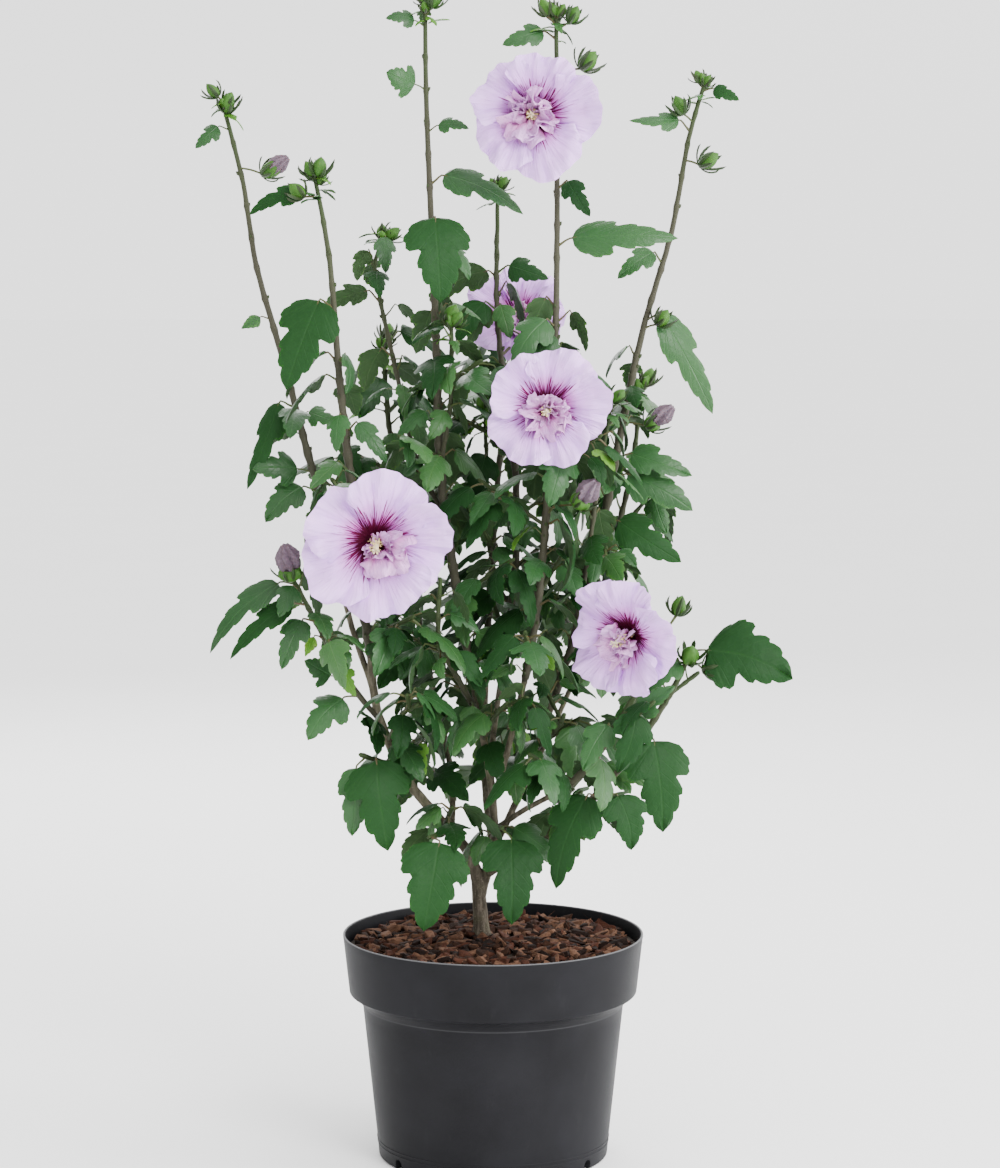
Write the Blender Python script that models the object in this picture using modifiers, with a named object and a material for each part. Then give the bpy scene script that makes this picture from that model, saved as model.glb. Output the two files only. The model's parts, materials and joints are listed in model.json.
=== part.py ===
"""A potted hibiscus shrub: nursery pot, root ball, bark mulch, trunk, boughs, leafy masses and blooms.

Metres, +Z up, the plant's front towards -Y.  The origin is the middle of the pot's flat underside.
The limbs are rows of a few points in millimetres.  Leaves, side twigs and buds grow from them by a
seeded rule: anything that would touch what already stands there is turned, shortened or left out.
"""
import math
import random

import bmesh
import bpy
from mathutils import Matrix, Vector
from mathutils.bvhtree import BVHTree

MM = 0.001
GAP = 0.3 * MM               # clearance between solids that meet
UP = Vector((0.0, 0.0, 1.0))
GOLDEN_TURN = math.radians(137.5)

# The pot: a turned nursery pot with a deep band under its rim.
POT_HEIGHT = 194 * MM
RIM_RADIUS = 130 * MM
BAND_FOOT_RADIUS = 124.5 * MM
BAND_DEPTH = 50 * MM
BAND_STEP = 11 * MM          # height of the slope under the band
RIM_EDGE = 1.0 * MM          # bevel along the rim and the band's foot
WALL_TOP_RADIUS = 113 * MM
FOOT_RADIUS = 99.5 * MM
WALL = 2.0 * MM
FLOOR = 2.5 * MM
PAD_RADIUS = 66 * MM         # the flat middle of the underside
CHANNEL_HEIGHT = 10 * MM     # raised ring between the pad and the foot
NOTCH_WIDTH = 9 * MM
NOTCH_HEIGHT = 9 * MM
NOTCH_ANGLES = (-126, -54, 54, 126)
POT_FACETS = 32

# What fills it.
MULCH_DEPTH = 10 * MM
MULCH_EDGE_DROP = 9 * MM     # mulch lies this far under the rim at the wall
MULCH_CROWN = 5.5 * MM       # and rises this much towards the trunk
MULCH_FLAT_RADIUS = 25 * MM  # level round the trunk
MULCH_TOP = POT_HEIGHT - MULCH_EDGE_DROP + MULCH_CROWN

# The trunk, from its flat cut on the mulch to its fork.
TRUNK_FOOT = Vector((-10 * MM, 4 * MM, MULCH_TOP + GAP))
TRUNK_PATH = ((-10, 4, 195), (-10.6, 4, 204), (-12, 4, 222), (-13, 4, 240))
TRUNK_RADII = (9.2, 7.2, 6.6, 6.2, 6.0)
TRUNK_SIDES = 12
BOUGH_SIDES = 6

# Boughs: name, carried by, share of the carrier's length, points passed, radius at root and tip.
BOUGHS = (
    ("bough_left", "trunk", 1.00,
     ((-24, 3, 268), (-70, -5, 322), (-99, -14, 388), (-104, -18, 436)), 4.8, 3.5),
    ("bough_outer_left", "bough_left", 0.88, ((-122, 2, 462), (-137, 20, 525)), 2.8, 2.5),
    ("bough_centre", "trunk", 0.62, ((0, 0, 262), (-1, 0, 320), (-17, 0, 412)), 3.9, 3.2),
    ("bough_low_right", "bough_centre", 0.13, ((32, -12, 268), (67, -18, 297), (106, -20, 337)), 3.0, 2.4),
    ("bough_right", "bough_centre", 0.25, ((24, 16, 314), (54, 24, 398)), 3.2, 2.9),
    ("bough_front_right", "bough_centre", 0.33, ((28, -34, 308), (60, -52, 328)), 2.6, 2.3),
    ("bough_inner", "bough_centre", 0.46, ((12, -12, 352), (27, -18, 416)), 2.8, 2.6),
    ("bough_back", "bough_centre", 0.56, ((0, 30, 362), (10, 52, 428)), 2.8, 2.6),
    ("bough_rear_left", "bough_left", 0.22, ((-36, 36, 326), (-56, 66, 412)), 2.9, 2.5),
    ("bough_rear", "bough_centre", 0.22, ((-8, 50, 322), (-6, 96, 415)), 2.9, 2.5),
    ("bough_rear_right", "bough_right", 0.40, ((50, 50, 360), (78, 74, 420)), 2.5, 2.3),
)

# The stem of each leafy mass, in the same form.
MASSES = (
    ("foliage_outer_left", "bough_outer_left", 1.00,
     ((-160, 32, 607), (-182, 40, 690), (-205, 42, 772), (-214, 42, 836), (-232, 42, 908)), 2.5, 1.3),
    ("foliage_left", "bough_left", 1.00,
     ((-110, -20, 475), (-121, -28, 596), (-129, -30, 672), (-137, -30, 775), (-149, -30, 842)), 3.4, 1.3),
    ("foliage_low_left", "bough_left", 0.74, ((-124, -38, 420), (-146, -48, 464), (-168, -50, 506)), 2.1, 1.4),
    ("foliage_tall", "bough_centre", 1.00,
     ((-35, 0, 516), (-45, 0, 598), (-49, 0, 725), (-56, 0, 900), (-57, 0, 985)), 3.2, 1.3),
    ("foliage_back", "bough_back", 1.00,
     ((20, 60, 518), (18, 60, 608), (4, 62, 718), (4, 62, 838)), 2.6, 1.3),
    ("foliage_inner", "bough_inner", 1.00,
     ((43, -20, 530), (52, -20, 690), (54, -20, 800), (53, -20, 974)), 2.6, 1.3),
    ("foliage_right", "bough_right", 1.00,
     ((88, 30, 515), (114, 30, 645), (131, 30, 722), (154, 30, 800), (166, 30, 872), (181, 30, 925)),
     2.9, 1.3),
    ("foliage_front_right", "bough_front_right", 1.00, ((96, -70, 372), (127, -76, 426)), 2.3, 1.5),
    ("foliage_low_right", "bough_low_right", 1.00, ((131, -20, 372), (156, -22, 414), (170, -22, 444)), 2.4, 1.5),
    ("foliage_rear_left", "bough_rear_left", 1.00, ((-78, 98, 515), (-92, 112, 620), (-98, 116, 700)), 2.5, 1.3),
    ("foliage_rear", "bough_rear", 1.00, ((0, 132, 520), (8, 146, 640), (10, 150, 740)), 2.5, 1.3),
    ("foliage_rear_right", "bough_rear_right", 1.00, ((102, 104, 500), (124, 122, 590), (132, 126, 660)), 2.3, 1.3),
    ("foliage_core", "bough_centre", 0.84, ((-32, -34, 424), (-46, -50, 452), (-44, -52, 506)), 1.9, 1.3),
    ("foliage_waist_left", "bough_left", 0.66, ((-76, -44, 392), (-62, -78, 404)), 1.8, 1.4),
    ("foliage_waist_front", "bough_centre", 0.74, ((2, -40, 390), (12, -72, 404)), 1.8, 1.4),
    ("foliage_waist_right", "bough_right", 0.66, ((56, -16, 376), (60, -56, 392)), 1.8, 1.4),
    ("foliage_skirt_front", "bough_centre", 0.30, ((3, -30, 292), (8, -60, 296)), 1.8, 1.4),
    ("foliage_skirt_front_left", "bough_left", 0.26, ((-42, -34, 286), (-54, -60, 288)), 1.8, 1.4),
    ("foliage_skirt_left", "bough_left", 0.56, ((-94, -34, 348), (-112, -44, 356)), 1.8, 1.4),
    ("foliage_skirt_right", "bough_low_right", 0.62, ((84, -48, 318), (92, -66, 326)), 1.7, 1.4),
    ("foliage_skirt_rear_left", "bough_rear_left", 0.30, ((-62, 48, 332), (-90, 62, 352)), 1.8, 1.4),
    ("foliage_skirt_rear", "bough_rear", 0.42, ((20, 84, 350), (26, 110, 362)), 1.8, 1.4),
    ("foliage_skirt_rear_right", "bough_low_right", 0.44, ((66, 20, 314), (92, 50, 338)), 1.7, 1.4),
)

# Long side shoots that are fused to a mass: mass, height they leave its stem at, points, radii.
SIDE_SHOOTS = (
    ("foliage_tall", 556, ((-66, 26, 600), (-80, 46, 660), (-97, 50, 735), (-103, 50, 770), (-94, 50, 796)),
     1.9, 1.3),
    ("foliage_tall", 600, ((-36, -16, 650), (-35, -20, 716)), 1.6, 1.3),
    ("foliage_back", 470, ((-2, 72, 512), (-7, 74, 640)), 1.6, 1.3),
    ("foliage_right", 440, ((80, 2, 512), (89, -8, 580), (100, -10, 652)), 1.8, 1.3),
)

# Blooms: name, mass that carries it, height its stalk leaves the stem at, centre, where it looks, radius.
BLOOMS = (
    ("bloom_left", "foliage_left", 500, (-96, -118, 541), (0.12, -1.0, -0.10), 65),
    ("bloom_top", "foliage_inner", 862, (32, -58, 894), (-0.12, -1.0, 0.10), 57),
    ("bloom_middle", "foliage_inner", 634, (44, -70, 650), (0.02, -1.0, 0.02), 54),
    ("bloom_right", "foliage_front_right", 418, (103, -118, 464), (-0.85, -1.0, -0.18), 53),
    ("bloom_back", "foliage_back", 690, (22, 98, 729), (-0.10, -0.75, 0.45), 48),
    ("bloom_rear_left", "foliage_rear_left", 470, (-102, 170, 512), (-0.30, 1.0, 0.10), 52),
    ("bloom_rear", "foliage_rear", 592, (45, 198, 636), (0.30, 1.0, 0.05), 50),
)

# Leaves that stand out: mass, height of the petiole's root, reach of the tip from there, blade width.
SHOWY_LEAVES = (
    ("foliage_left", 732, (-38, -18, -68), 52),
    ("foliage_left", 824, (-58, -6, -14), 20),
    ("foliage_left", 628, (34, -12, -26), 20),
    ("foliage_outer_left", 722, (-24, -6, -8), 14),
    ("foliage_outer_left", 646, (-40, -14, -70), 26),
    ("foliage_outer_left", 634, (36, -8, -2), 22),
    ("foliage_outer_left", 590, (-50, -16, 4), 32),
    ("foliage_outer_left", 574, (-44, -10, -26), 30),
    ("foliage_outer_left", 884, (-28, -4, -16), 18),
    ("foliage_low_left", 502, (-70, -10, -58), 26),
    ("foliage_low_left", 484, (-62, -18, -44), 24),
    ("foliage_low_left", 470, (-26, -24, -38), 26),
    ("foliage_low_left", 424, (-34, -8, 14), 28),
    ("foliage_low_left", 404, (-42, -12, -36), 34),
    ("foliage_tall", 800, (8, -26, -64), 56),
    ("foliage_tall", 915, (-32, -10, 14), 30),
    ("foliage_tall", 836, (78, -14, -26), 30),
    ("foliage_tall", 880, (34, -8, 2), 16),
    ("foliage_tall", 968, (-32, -6, 6), 18),
    ("foliage_inner", 784, (100, -14, 6), 34),
    ("foliage_inner", 832, (26, -16, -24), 22),
    ("foliage_inner", 956, (-44, -8, -6), 22),
    ("foliage_back", 762, (44, -12, -6), 30),
    ("foliage_back", 730, (-34, -14, -28), 28),
    ("foliage_right", 882, (-52, -8, 8), 20),
    ("foliage_right", 916, (30, -6, -8), 16),
    ("foliage_right", 770, (-38, -10, -14), 22),
    ("foliage_right", 722, (58, -14, -82), 32),
    ("foliage_right", 602, (64, -12, -14), 30),
    ("foliage_right", 584, (68, -14, -26), 38),
    ("foliage_right", 544, (66, -18, -30), 38),
    ("foliage_front_right", 396, (40, -10, 24), 22),
    ("foliage_low_right", 443, (84, -14, -22), 64),
    ("foliage_low_right", 426, (-30, -16, -18), 30),
    ("foliage_low_right", 364, (18, -16, -76), 58),
    ("foliage_skirt_front_left", 288, (-6, -30, -74), 58),
    ("foliage_skirt_front", 295, (8, -30, -76), 52),
    ("foliage_skirt_left", 350, (10, -22, -74), 56),
    ("foliage_skirt_left", 354, (-6, -12, -66), 32),
    ("foliage_skirt_right", 322, (-34, -14, -76), 46),
    ("foliage_skirt_right", 326, (24, -6, -46), 40),
)

# How each mass is dressed by rule: lowest and highest height with side twigs, then the height to
# which single leaves go on, leaf length, and the seed of its draws.
DRESSING = {
    "foliage_outer_left": (555, 580, 640, 48, 11),
    "foliage_left": (452, 600, 700, 56, 12),
    "foliage_low_left": (446, 470, 500, 48, 13),
    "foliage_tall": (425, 690, 790, 60, 14),
    "foliage_back": (440, 700, 800, 60, 15),
    "foliage_inner": (430, 690, 750, 60, 16),
    "foliage_right": (410, 530, 690, 54, 17),
    "foliage_front_right": (335, 420, 430, 58, 18),
    "foliage_low_right": (404, 404, 430, 50, 19),
    "foliage_rear_left": (425, 640, 700, 60, 20),
    "foliage_rear": (428, 670, 740, 60, 21),
    "foliage_rear_right": (430, 610, 660, 60, 22),
    "foliage_core": (395, 470, 506, 54, 23),
    "foliage_waist_left": (360, 410, 410, 58, 31),
    "foliage_waist_front": (360, 410, 410, 58, 32),
    "foliage_waist_right": (350, 400, 400, 58, 33),
    "foliage_skirt_front": (262, 300, 300, 66, 24),
    "foliage_skirt_front_left": (254, 292, 292, 64, 25),
    "foliage_skirt_left": (330, 358, 358, 58, 26),
    "foliage_skirt_right": (300, 330, 330, 58, 27),
    "foliage_skirt_rear_left": (300, 352, 352, 60, 28),
    "foliage_skirt_rear": (325, 362, 362, 60, 29),
    "foliage_skirt_rear_right": (300, 340, 340, 60, 30),
}

# Places kept open between the leaves of the rule, as seen from the eye in front of the plant:
# x and z where the line of sight crosses the plane y = 0, and the radius.
EYE = Vector((6 * MM, -2600 * MM, 754 * MM))
OPEN_PLACES = (
    (-121, 816, 25), (-69, 770, 10), (29, 783, 18), (85, 753, 26), (-69, 751, 14), (104, 720, 20),
    (-115, 716, 19), (145, 705, 11), (152, 678, 22), (-97, 635, 14), (157, 622, 14), (-191, 663, 10),
    (-146, 612, 11), (110, 564, 10), (-179, 553, 14), (169, 537, 14), (146, 508, 11), (183, 494, 16),
    (-168, 460, 11), (-210, 454, 16), (-177, 440, 15), (-148, 413, 12), (198, 376, 37), (151, 372, 13),
    (-131, 357, 24), (135, 290, 12), (-89, 267, 12), (174, 262, 30), (-148, 261, 28), (136, 256, 24),
    (98, 255, 22), (-113, 250, 19), (100, 782, 14), (28, 805, 14), (-9, 775, 11), (121, 743, 12),
    (-185, 430, 20), (-137, 334, 10), (178, 411, 10), (163, 688, 10), (-87, 640, 9), (-137, 301, 10),
    (132, 298, 10), (120, 787, 9), (-118, 431, 8), (150, 414, 8), (138, 677, 8), (163, 396, 8),
    (-181, 608, 8), (-126, 768, 8), (121, 561, 8), (6, 531, 8), (-82, 715, 8), (-126, 701, 8),
    (145, 621, 7), (122, 619, 7), (-13, 531, 7), (-104, 608, 7), (-15, 620, 7), (141, 366, 8),
)
TWIG_STEP = 57 * MM
LEAF_STEP = 56 * MM

# Buds and spent blooms: mass, height of the stalk's root, reach of the middle, bud length, width.
BUDS = (
    ("foliage_outer_left", 896, (2, -6, 10), 17, 11),
    ("foliage_outer_left", 852, (30, -10, 0), 26, 14),
    ("foliage_left", 838, (4, -8, 12), 17, 12),
    ("foliage_left", 824, (-18, -8, 6), 17, 12),
    ("foliage_tall", 976, (8, -6, 14), 15, 10),
    ("foliage_tall", 714, (14, -16, 14), 18, 13),
    ("foliage_inner", 966, (-10, -6, 16), 16, 11),
    ("foliage_inner", 962, (14, -6, 14), 16, 11),
    ("foliage_inner", 926, (26, -8, 12), 20, 14),
    ("foliage_back", 716, (34, -26, -6), 26, 14),
    ("foliage_right", 890, (-12, -6, 14), 18, 12),
    ("foliage_right", 858, (20, -8, 0), 20, 13),
    ("foliage_right", 714, (16, -8, 10), 17, 12),
    ("foliage_right", 634, (30, -14, 4), 28, 15),
    ("foliage_inner", 562, (32, -22, 14), 28, 18),
    ("foliage_low_left", 504, (-4, -10, 16), 30, 20),
    ("foliage_front_right", 426, (30, 6, 62), 18, 12),
    ("foliage_low_right", 434, (2, -12, 6), 20, 15),
    ("foliage_low_right", 436, (20, -8, -8), 18, 13),
    ("foliage_rear_left", 694, (4, 8, 16), 17, 12),
    ("foliage_rear", 734, (-6, 8, 16), 17, 12),
    ("foliage_rear_right", 654, (8, 6, 16), 17, 12),
)

LEAF_THICKNESS = 1.0 * MM
TWIG_RADII = (1.8, 1.5)
PETIOLE_RADIUS = 0.7 * MM
STALK_RADII = (1.3, 1.5)
STEM_SIDES = 4
ROD_ROLL = 0.37              # keeps a rod's edges off those of the stem that it leaves
CLEARANCE = 1.2 * MM         # space kept round a leaf when its place is tried
SLEEVE = 1.2 * MM            # space kept round a stem or twig for what grows from it

COLORS = {
    "pot": ((0.045, 0.045, 0.05), 0.5),
    "root_ball": ((0.05, 0.03, 0.02), 0.9),
    "bark_mulch": ((0.17, 0.07, 0.04), 0.9),
    "bark": ((0.24, 0.19, 0.14), 0.8),
    "foliage": ((0.05, 0.17, 0.05), 0.5),
    "petals": ((0.68, 0.52, 0.78), 0.6),
}


# ---------------------------------------------------------------- helpers

def clear_scene():
    for item in list(bpy.data.objects):
        bpy.data.objects.remove(item, do_unlink=True)


def make_collection(name):
    group = bpy.data.collections.new(name)
    bpy.context.scene.collection.children.link(group)
    return group


def make_material(name):
    color, roughness = COLORS[name]
    material = bpy.data.materials.new(name)
    material.use_nodes = True
    shader = material.node_tree.nodes["Principled BSDF"]
    shader.inputs["Base Color"].default_value = (*color, 1.0)
    shader.inputs["Roughness"].default_value = roughness
    shader.inputs["Metallic"].default_value = 0.0
    return material


def add_object(name, mesh, group):
    item = bpy.data.objects.new(name, mesh)
    group.objects.link(item)
    return item


def add_cutter(name, mesh, cutters):
    item = add_object(name, mesh, cutters)
    item.hide_render = True
    item.display_type = "WIRE"
    return item


def mesh_from_bmesh(name, shape):
    mesh = bpy.data.meshes.new(name)
    shape.to_mesh(mesh)
    shape.free()
    return mesh


def millimetres(points):
    return [Vector(point) * MM for point in points]


def evaluated_copy(item, weld=True):
    """The item's mesh with its modifiers or bevel applied, its caps welded on."""
    graph = bpy.context.evaluated_depsgraph_get()
    mesh = bpy.data.meshes.new_from_object(item.evaluated_get(graph))
    if not weld:
        return mesh
    shape = bmesh.new()
    shape.from_mesh(mesh)
    bmesh.ops.remove_doubles(shape, verts=shape.verts, dist=0.00001)
    shape.to_mesh(mesh)
    shape.free()
    return mesh


# ---------------------------------------------------------------- limbs

def smooth_path(points, step=30 * MM, lead=None):
    """A Catmull-Rom curve through the points, as a list of places about a step apart.

    With a lead, the curve sets out in that direction."""
    before_first = points[0] * 2 - points[1]
    if lead:
        before_first = points[1] - lead * 2 * (points[1] - points[0]).length
    ends = [before_first] + list(points) + [points[-1] * 2 - points[-2]]
    places = [points[0]]
    for before, start, stop, after in zip(ends, ends[1:], ends[2:], ends[3:]):
        count = max(1, round((stop - start).length / step))
        for index in range(1, count + 1):
            t = index / count
            places.append(0.5 * (
                2 * start + (stop - before) * t
                + (2 * before - 5 * start + 4 * stop - after) * t * t
                + (3 * start - before - 3 * stop + after) * t ** 3))
    return places


class Limb:
    """A tapering limb: its axis, its radii, and what is asked of it by those that grow from it."""

    def __init__(self, name, path, radii):
        self.name = name
        self.path = path
        spans = [(b - a).length for a, b in zip(path, path[1:])]
        self.length = sum(spans)
        self.marks = [sum(spans[:index]) / self.length for index in range(len(path))]
        if len(radii) == len(path):
            self.radii = [radius * MM for radius in radii]
        else:
            root, tip = radii
            self.radii = [(root + (tip - root) * mark) * MM for mark in self.marks]

    def at(self, share):
        """Place, direction and radius at a share of the length."""
        for index in range(len(self.path) - 1):
            if share <= self.marks[index + 1] or index == len(self.path) - 2:
                low, high = self.marks[index], self.marks[index + 1]
                t = (share - low) / (high - low)
                place = self.path[index].lerp(self.path[index + 1], t)
                along = (self.path[index + 1] - self.path[index]).normalized()
                radius = self.radii[index] + (self.radii[index + 1] - self.radii[index]) * t
                return place, along, radius

    def share_at_height(self, height):
        """The share of the length at which the axis first reaches a height, a little short of the tip."""
        last = 1.0 - 3 * MM / self.length
        for index in range(len(self.path) - 1):
            low, high = self.path[index].z, self.path[index + 1].z
            if low <= height <= high:
                t = (height - low) / (high - low)
                return min(last, self.marks[index] + t * (self.marks[index + 1] - self.marks[index]))
        return last if height > self.path[-1].z else 0.0


def tube_mesh(name, path, radii, sides):
    """A closed tube along a path, with a radius at each point: a bevelled curve made a mesh."""
    curve = bpy.data.curves.new(name, "CURVE")
    curve.dimensions = "3D"
    curve.bevel_depth = 1.0
    curve.bevel_resolution = (sides - 4) // 2
    curve.use_fill_caps = True
    spline = curve.splines.new("POLY")
    spline.points.add(len(path) - 1)
    for point, place, radius in zip(spline.points, path, radii):
        point.co = (*place, 1.0)
        point.radius = radius
    item = bpy.data.objects.new(name, curve)
    bpy.context.scene.collection.objects.link(item)
    mesh = evaluated_copy(item)
    bpy.data.objects.remove(item, do_unlink=True)
    bpy.data.curves.remove(curve)
    return mesh


def grow_limb(name, carrier, share, points, root, tip):
    """A limb that starts at its carrier's axis, or face to face with its carrier's tip."""
    place, along, _ = carrier.at(share)
    if share >= 1.0:
        start = place + along * GAP
        path = smooth_path([start] + millimetres(points), lead=along)
        path.insert(1, start + along * 3 * MM)
        return Limb(name, path, (root, tip))
    return Limb(name, smooth_path([place] + millimetres(points)), (root, tip))


def seat_on(item, carrier, sides, cutters):
    """Cuts the item clear of its carrier, so that it meets it with a thin even gap."""
    radii = [radius + GAP for radius in carrier.radii]
    mesh = tube_mesh("seat_" + item.name + "_" + carrier.name, carrier.path, radii, sides)
    cutter = add_cutter(mesh.name, mesh, cutters)
    cut = item.modifiers.new("seat", "BOOLEAN")
    cut.operation = "DIFFERENCE"
    cut.solver = "EXACT"
    cut.object = cutter


# ---------------------------------------------------------------- leaves

# A blade's outline from its left lobe over the tip to its right lobe: share of length, of width.
PLAIN_OUTLINE = ((0.40, -0.50), (1.0, 0.0), (0.40, 0.50))
LOBED_OUTLINE = ((0.34, -0.50), (0.56, -0.27), (1.0, 0.0), (0.56, 0.27), (0.34, 0.50))
BLADE_FOLD = 0.22            # how far the edges rise over the rib, as a share of their distance from it


class Leaf:
    """One leaf's place: where its stalk starts, where its blade starts and points, and its size."""

    def __init__(self, base, heading, face, length, width, bend, outline=PLAIN_OUTLINE):
        self.base = base
        self.heading = heading.normalized()
        self.side = self.heading.cross(face).normalized()
        self.face = self.side.cross(self.heading).normalized()
        self.length = length
        self.width = width
        self.bend = bend
        self.outline = outline

    def on_blade(self, along, across, lift=0.0):
        """A place on the blade, which bends evenly down towards its tip."""
        angle = self.bend * along
        reach = self.length * math.sin(angle) / self.bend
        fall = self.length * (1 - math.cos(angle)) / self.bend
        raised = lift + BLADE_FOLD * abs(across) * self.width
        return self.base + self.heading * reach - self.face * (fall - raised) + self.side * across * self.width

    def shape(self, root, thick, stalk, flare=0.0, grown=1.0):
        """Corners and faces of the closed leaf: a three-sided root, a petiole where lobed, a thin blade.

        A flare widens the root, and a leaf grown past its size keeps its place clear for others."""
        lift = self.side.cross((self.base - root).normalized()).normalized()
        spread = self.side * (stalk + flare)
        corners = [root - spread, root + spread, root - lift * stalk]
        faces = [(0, 1, 2)]
        left, right, under = 0, 1, 2
        if self.outline is LOBED_OUTLINE:
            half = self.side * (stalk + 0.6 * MM)
            corners += [self.base - half, self.base + half, self.base - self.face * stalk]
            left, right, under = 3, 4, 5
            faces += [(0, 3, 1), (1, 3, 4), (1, 4, 2), (2, 4, 5), (2, 5, 0), (0, 5, 3)]
        first = len(corners)
        corners += [self.on_blade(along * grown, across * grown) for along, across in self.outline]
        corners += [self.on_blade(0.44, 0.0, thick * 0.5), self.on_blade(0.44, 0.0, -thick * 0.5)]
        top, low = len(corners) - 2, len(corners) - 1
        edge = [left] + list(range(first, top)) + [right]
        faces += [(top, right, left), (low, under, right), (low, left, under)]
        for start, stop in zip(edge, edge[1:]):
            faces += [(top, start, stop), (low, stop, start)]
        return corners, faces


def solid_from(name, points, faces):
    """A mesh from corners and faces, with its faces turned to point out."""
    mesh = bpy.data.meshes.new(name)
    mesh.from_pydata([tuple(point) for point in points], [], faces)
    shape = bmesh.new()
    shape.from_mesh(mesh)
    bmesh.ops.recalc_face_normals(shape, faces=shape.faces)
    shape.to_mesh(mesh)
    shape.free()
    return mesh


def corners_and_faces(mesh):
    return [vert.co.copy() for vert in mesh.vertices], [tuple(face.vertices) for face in mesh.polygons]


def box_round(points):
    """The lowest and highest corner of the box round the points."""
    low = Vector([min(point[axis] for point in points) for axis in range(3)])
    high = Vector([max(point[axis] for point in points) for axis in range(3)])
    return low, high


class Crown:
    """Everything that stands so far, to try new growth against."""

    def __init__(self):
        self.trees = []

    def add(self, points, faces, owner=None):
        low, high = box_round(points)
        self.trees.append((low, high, BVHTree.FromPolygons(points, faces), owner))

    def add_mesh(self, mesh, owner=None):
        self.add(*corners_and_faces(mesh), owner)

    def add_sleeve(self, limb):
        """A stem with the space round it that only its own leaves and twigs may cross."""
        radii = [radius + SLEEVE for radius in limb.radii]
        self.add_mesh(tube_mesh("sleeve", limb.path, radii, STEM_SIDES))

    def is_free(self, points, faces):
        low, high = box_round(points)
        tree = None
        for other_low, other_high, other, _ in self.trees:
            if any(low[axis] > other_high[axis] or high[axis] < other_low[axis] for axis in range(3)):
                continue
            tree = tree or BVHTree.FromPolygons(points, faces)
            if tree.overlap(other):
                return False
        return True

    def touched_by(self, mesh):
        """The owners of what a mesh crosses."""
        tree = BVHTree.FromPolygons(*corners_and_faces(mesh))
        return [owner for _, _, other, owner in self.trees if tree.overlap(other)]


class Mass:
    """One leafy mass while it grows: its stems and the pieces to be fused on."""

    def __init__(self, name, stem):
        self.name = name
        self.stem = stem
        self.shoots = [stem]
        self.pieces = []
        self.stalk_roots = []

    def stalk_near(self, spot):
        """Whether a bloom's stalk leaves a stem too near for anything else to grow there."""
        return any((spot[0] - root).length < spot[2] + 4 * MM for root in self.stalk_roots)


def seen_from_front(point):
    """Where the line of sight to a point crosses the plane y = 0, as x and z."""
    on_plane = EYE + (point - EYE) * (-EYE.y / (point.y - EYE.y))
    return Vector((on_plane.x, on_plane.z))


def fills_open_place(corners):
    """Whether a leaf, given by its corners with the middle last, would cover a place kept open."""
    middle = seen_from_front(corners[-1])
    rim = [seen_from_front(corner) for corner in corners[3:-2]]
    reach = max((point - middle).length for point in rim)
    for x, z, radius in OPEN_PLACES:
        place = Vector((x, z)) * MM
        if (place - middle).length > reach + radius * MM:
            continue
        if any((middle.lerp(point, share) - place).length < radius * MM
               for point in rim for share in (0.0, 0.5, 1.0)):
            return True
    return False


def place_leaf(mass, crown, spot, way, petiole, leaf):
    """Tries one leaf in its place.  It is fused on only where it touches nothing."""
    if mass.stalk_near(spot):
        return False
    axis, along, girth = spot
    slant = max(0.3, way.cross(along).length)
    start = axis + way * (girth + SLEEVE + PETIOLE_RADIUS + 0.4 * MM) / slant
    leaf.base = start + way * petiole
    flare = 0.0
    if leaf.outline is PLAIN_OUTLINE:
        near = (start - axis).length
        flare = near / (near + petiole + leaf.length * leaf.outline[0][0]) * leaf.width * 0.5
    trial, faces = leaf.shape(start, LEAF_THICKNESS + CLEARANCE, PETIOLE_RADIUS + GAP, flare, 1.04)
    if not crown.is_free(trial, faces):
        return False
    if any(point.z < MULCH_TOP + 6 * MM and point.xy.length < RIM_RADIUS + 4 * MM for point in trial):
        return False
    if leaf.outline is PLAIN_OUTLINE and fills_open_place(trial):
        return False
    points, faces = leaf.shape(axis, LEAF_THICKNESS, PETIOLE_RADIUS)
    mass.pieces.append(solid_from("leaf", points, faces))
    crown.add(points, faces)
    return True


def square_to(out, along):
    """The direction out, turned square to a stem."""
    return (out - along * out.dot(along)).normalized()


def seeded_leaf(mass, crown, draw, spot, azimuth, length):
    """A leaf by rule: petiole out and up, blade arching over and down.  Up to six tries."""
    for attempt in range(6):
        turn = azimuth + math.radians((0, 22, -22, 45, -45, 70)[attempt])
        size = length * (1.0 - 0.09 * attempt) * draw.uniform(0.9, 1.1)
        out = Vector((math.cos(turn), math.sin(turn), 0.0))
        rise = math.radians(draw.uniform(20, 50))
        way = square_to(out, spot[1]) * math.cos(rise) + spot[1] * math.sin(rise)
        dip = math.radians(draw.uniform(0, 55))
        heading = out * math.cos(dip) - UP * math.sin(dip)
        face = UP + out * 0.5 + out.cross(UP) * draw.uniform(-0.9, 0.9)
        leaf = Leaf(spot[0], heading, face, size, size * draw.uniform(0.72, 0.86), draw.uniform(0.5, 1.1))
        if place_leaf(mass, crown, spot, way, draw.uniform(6, 12) * MM, leaf):
            return True
    return False


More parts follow.
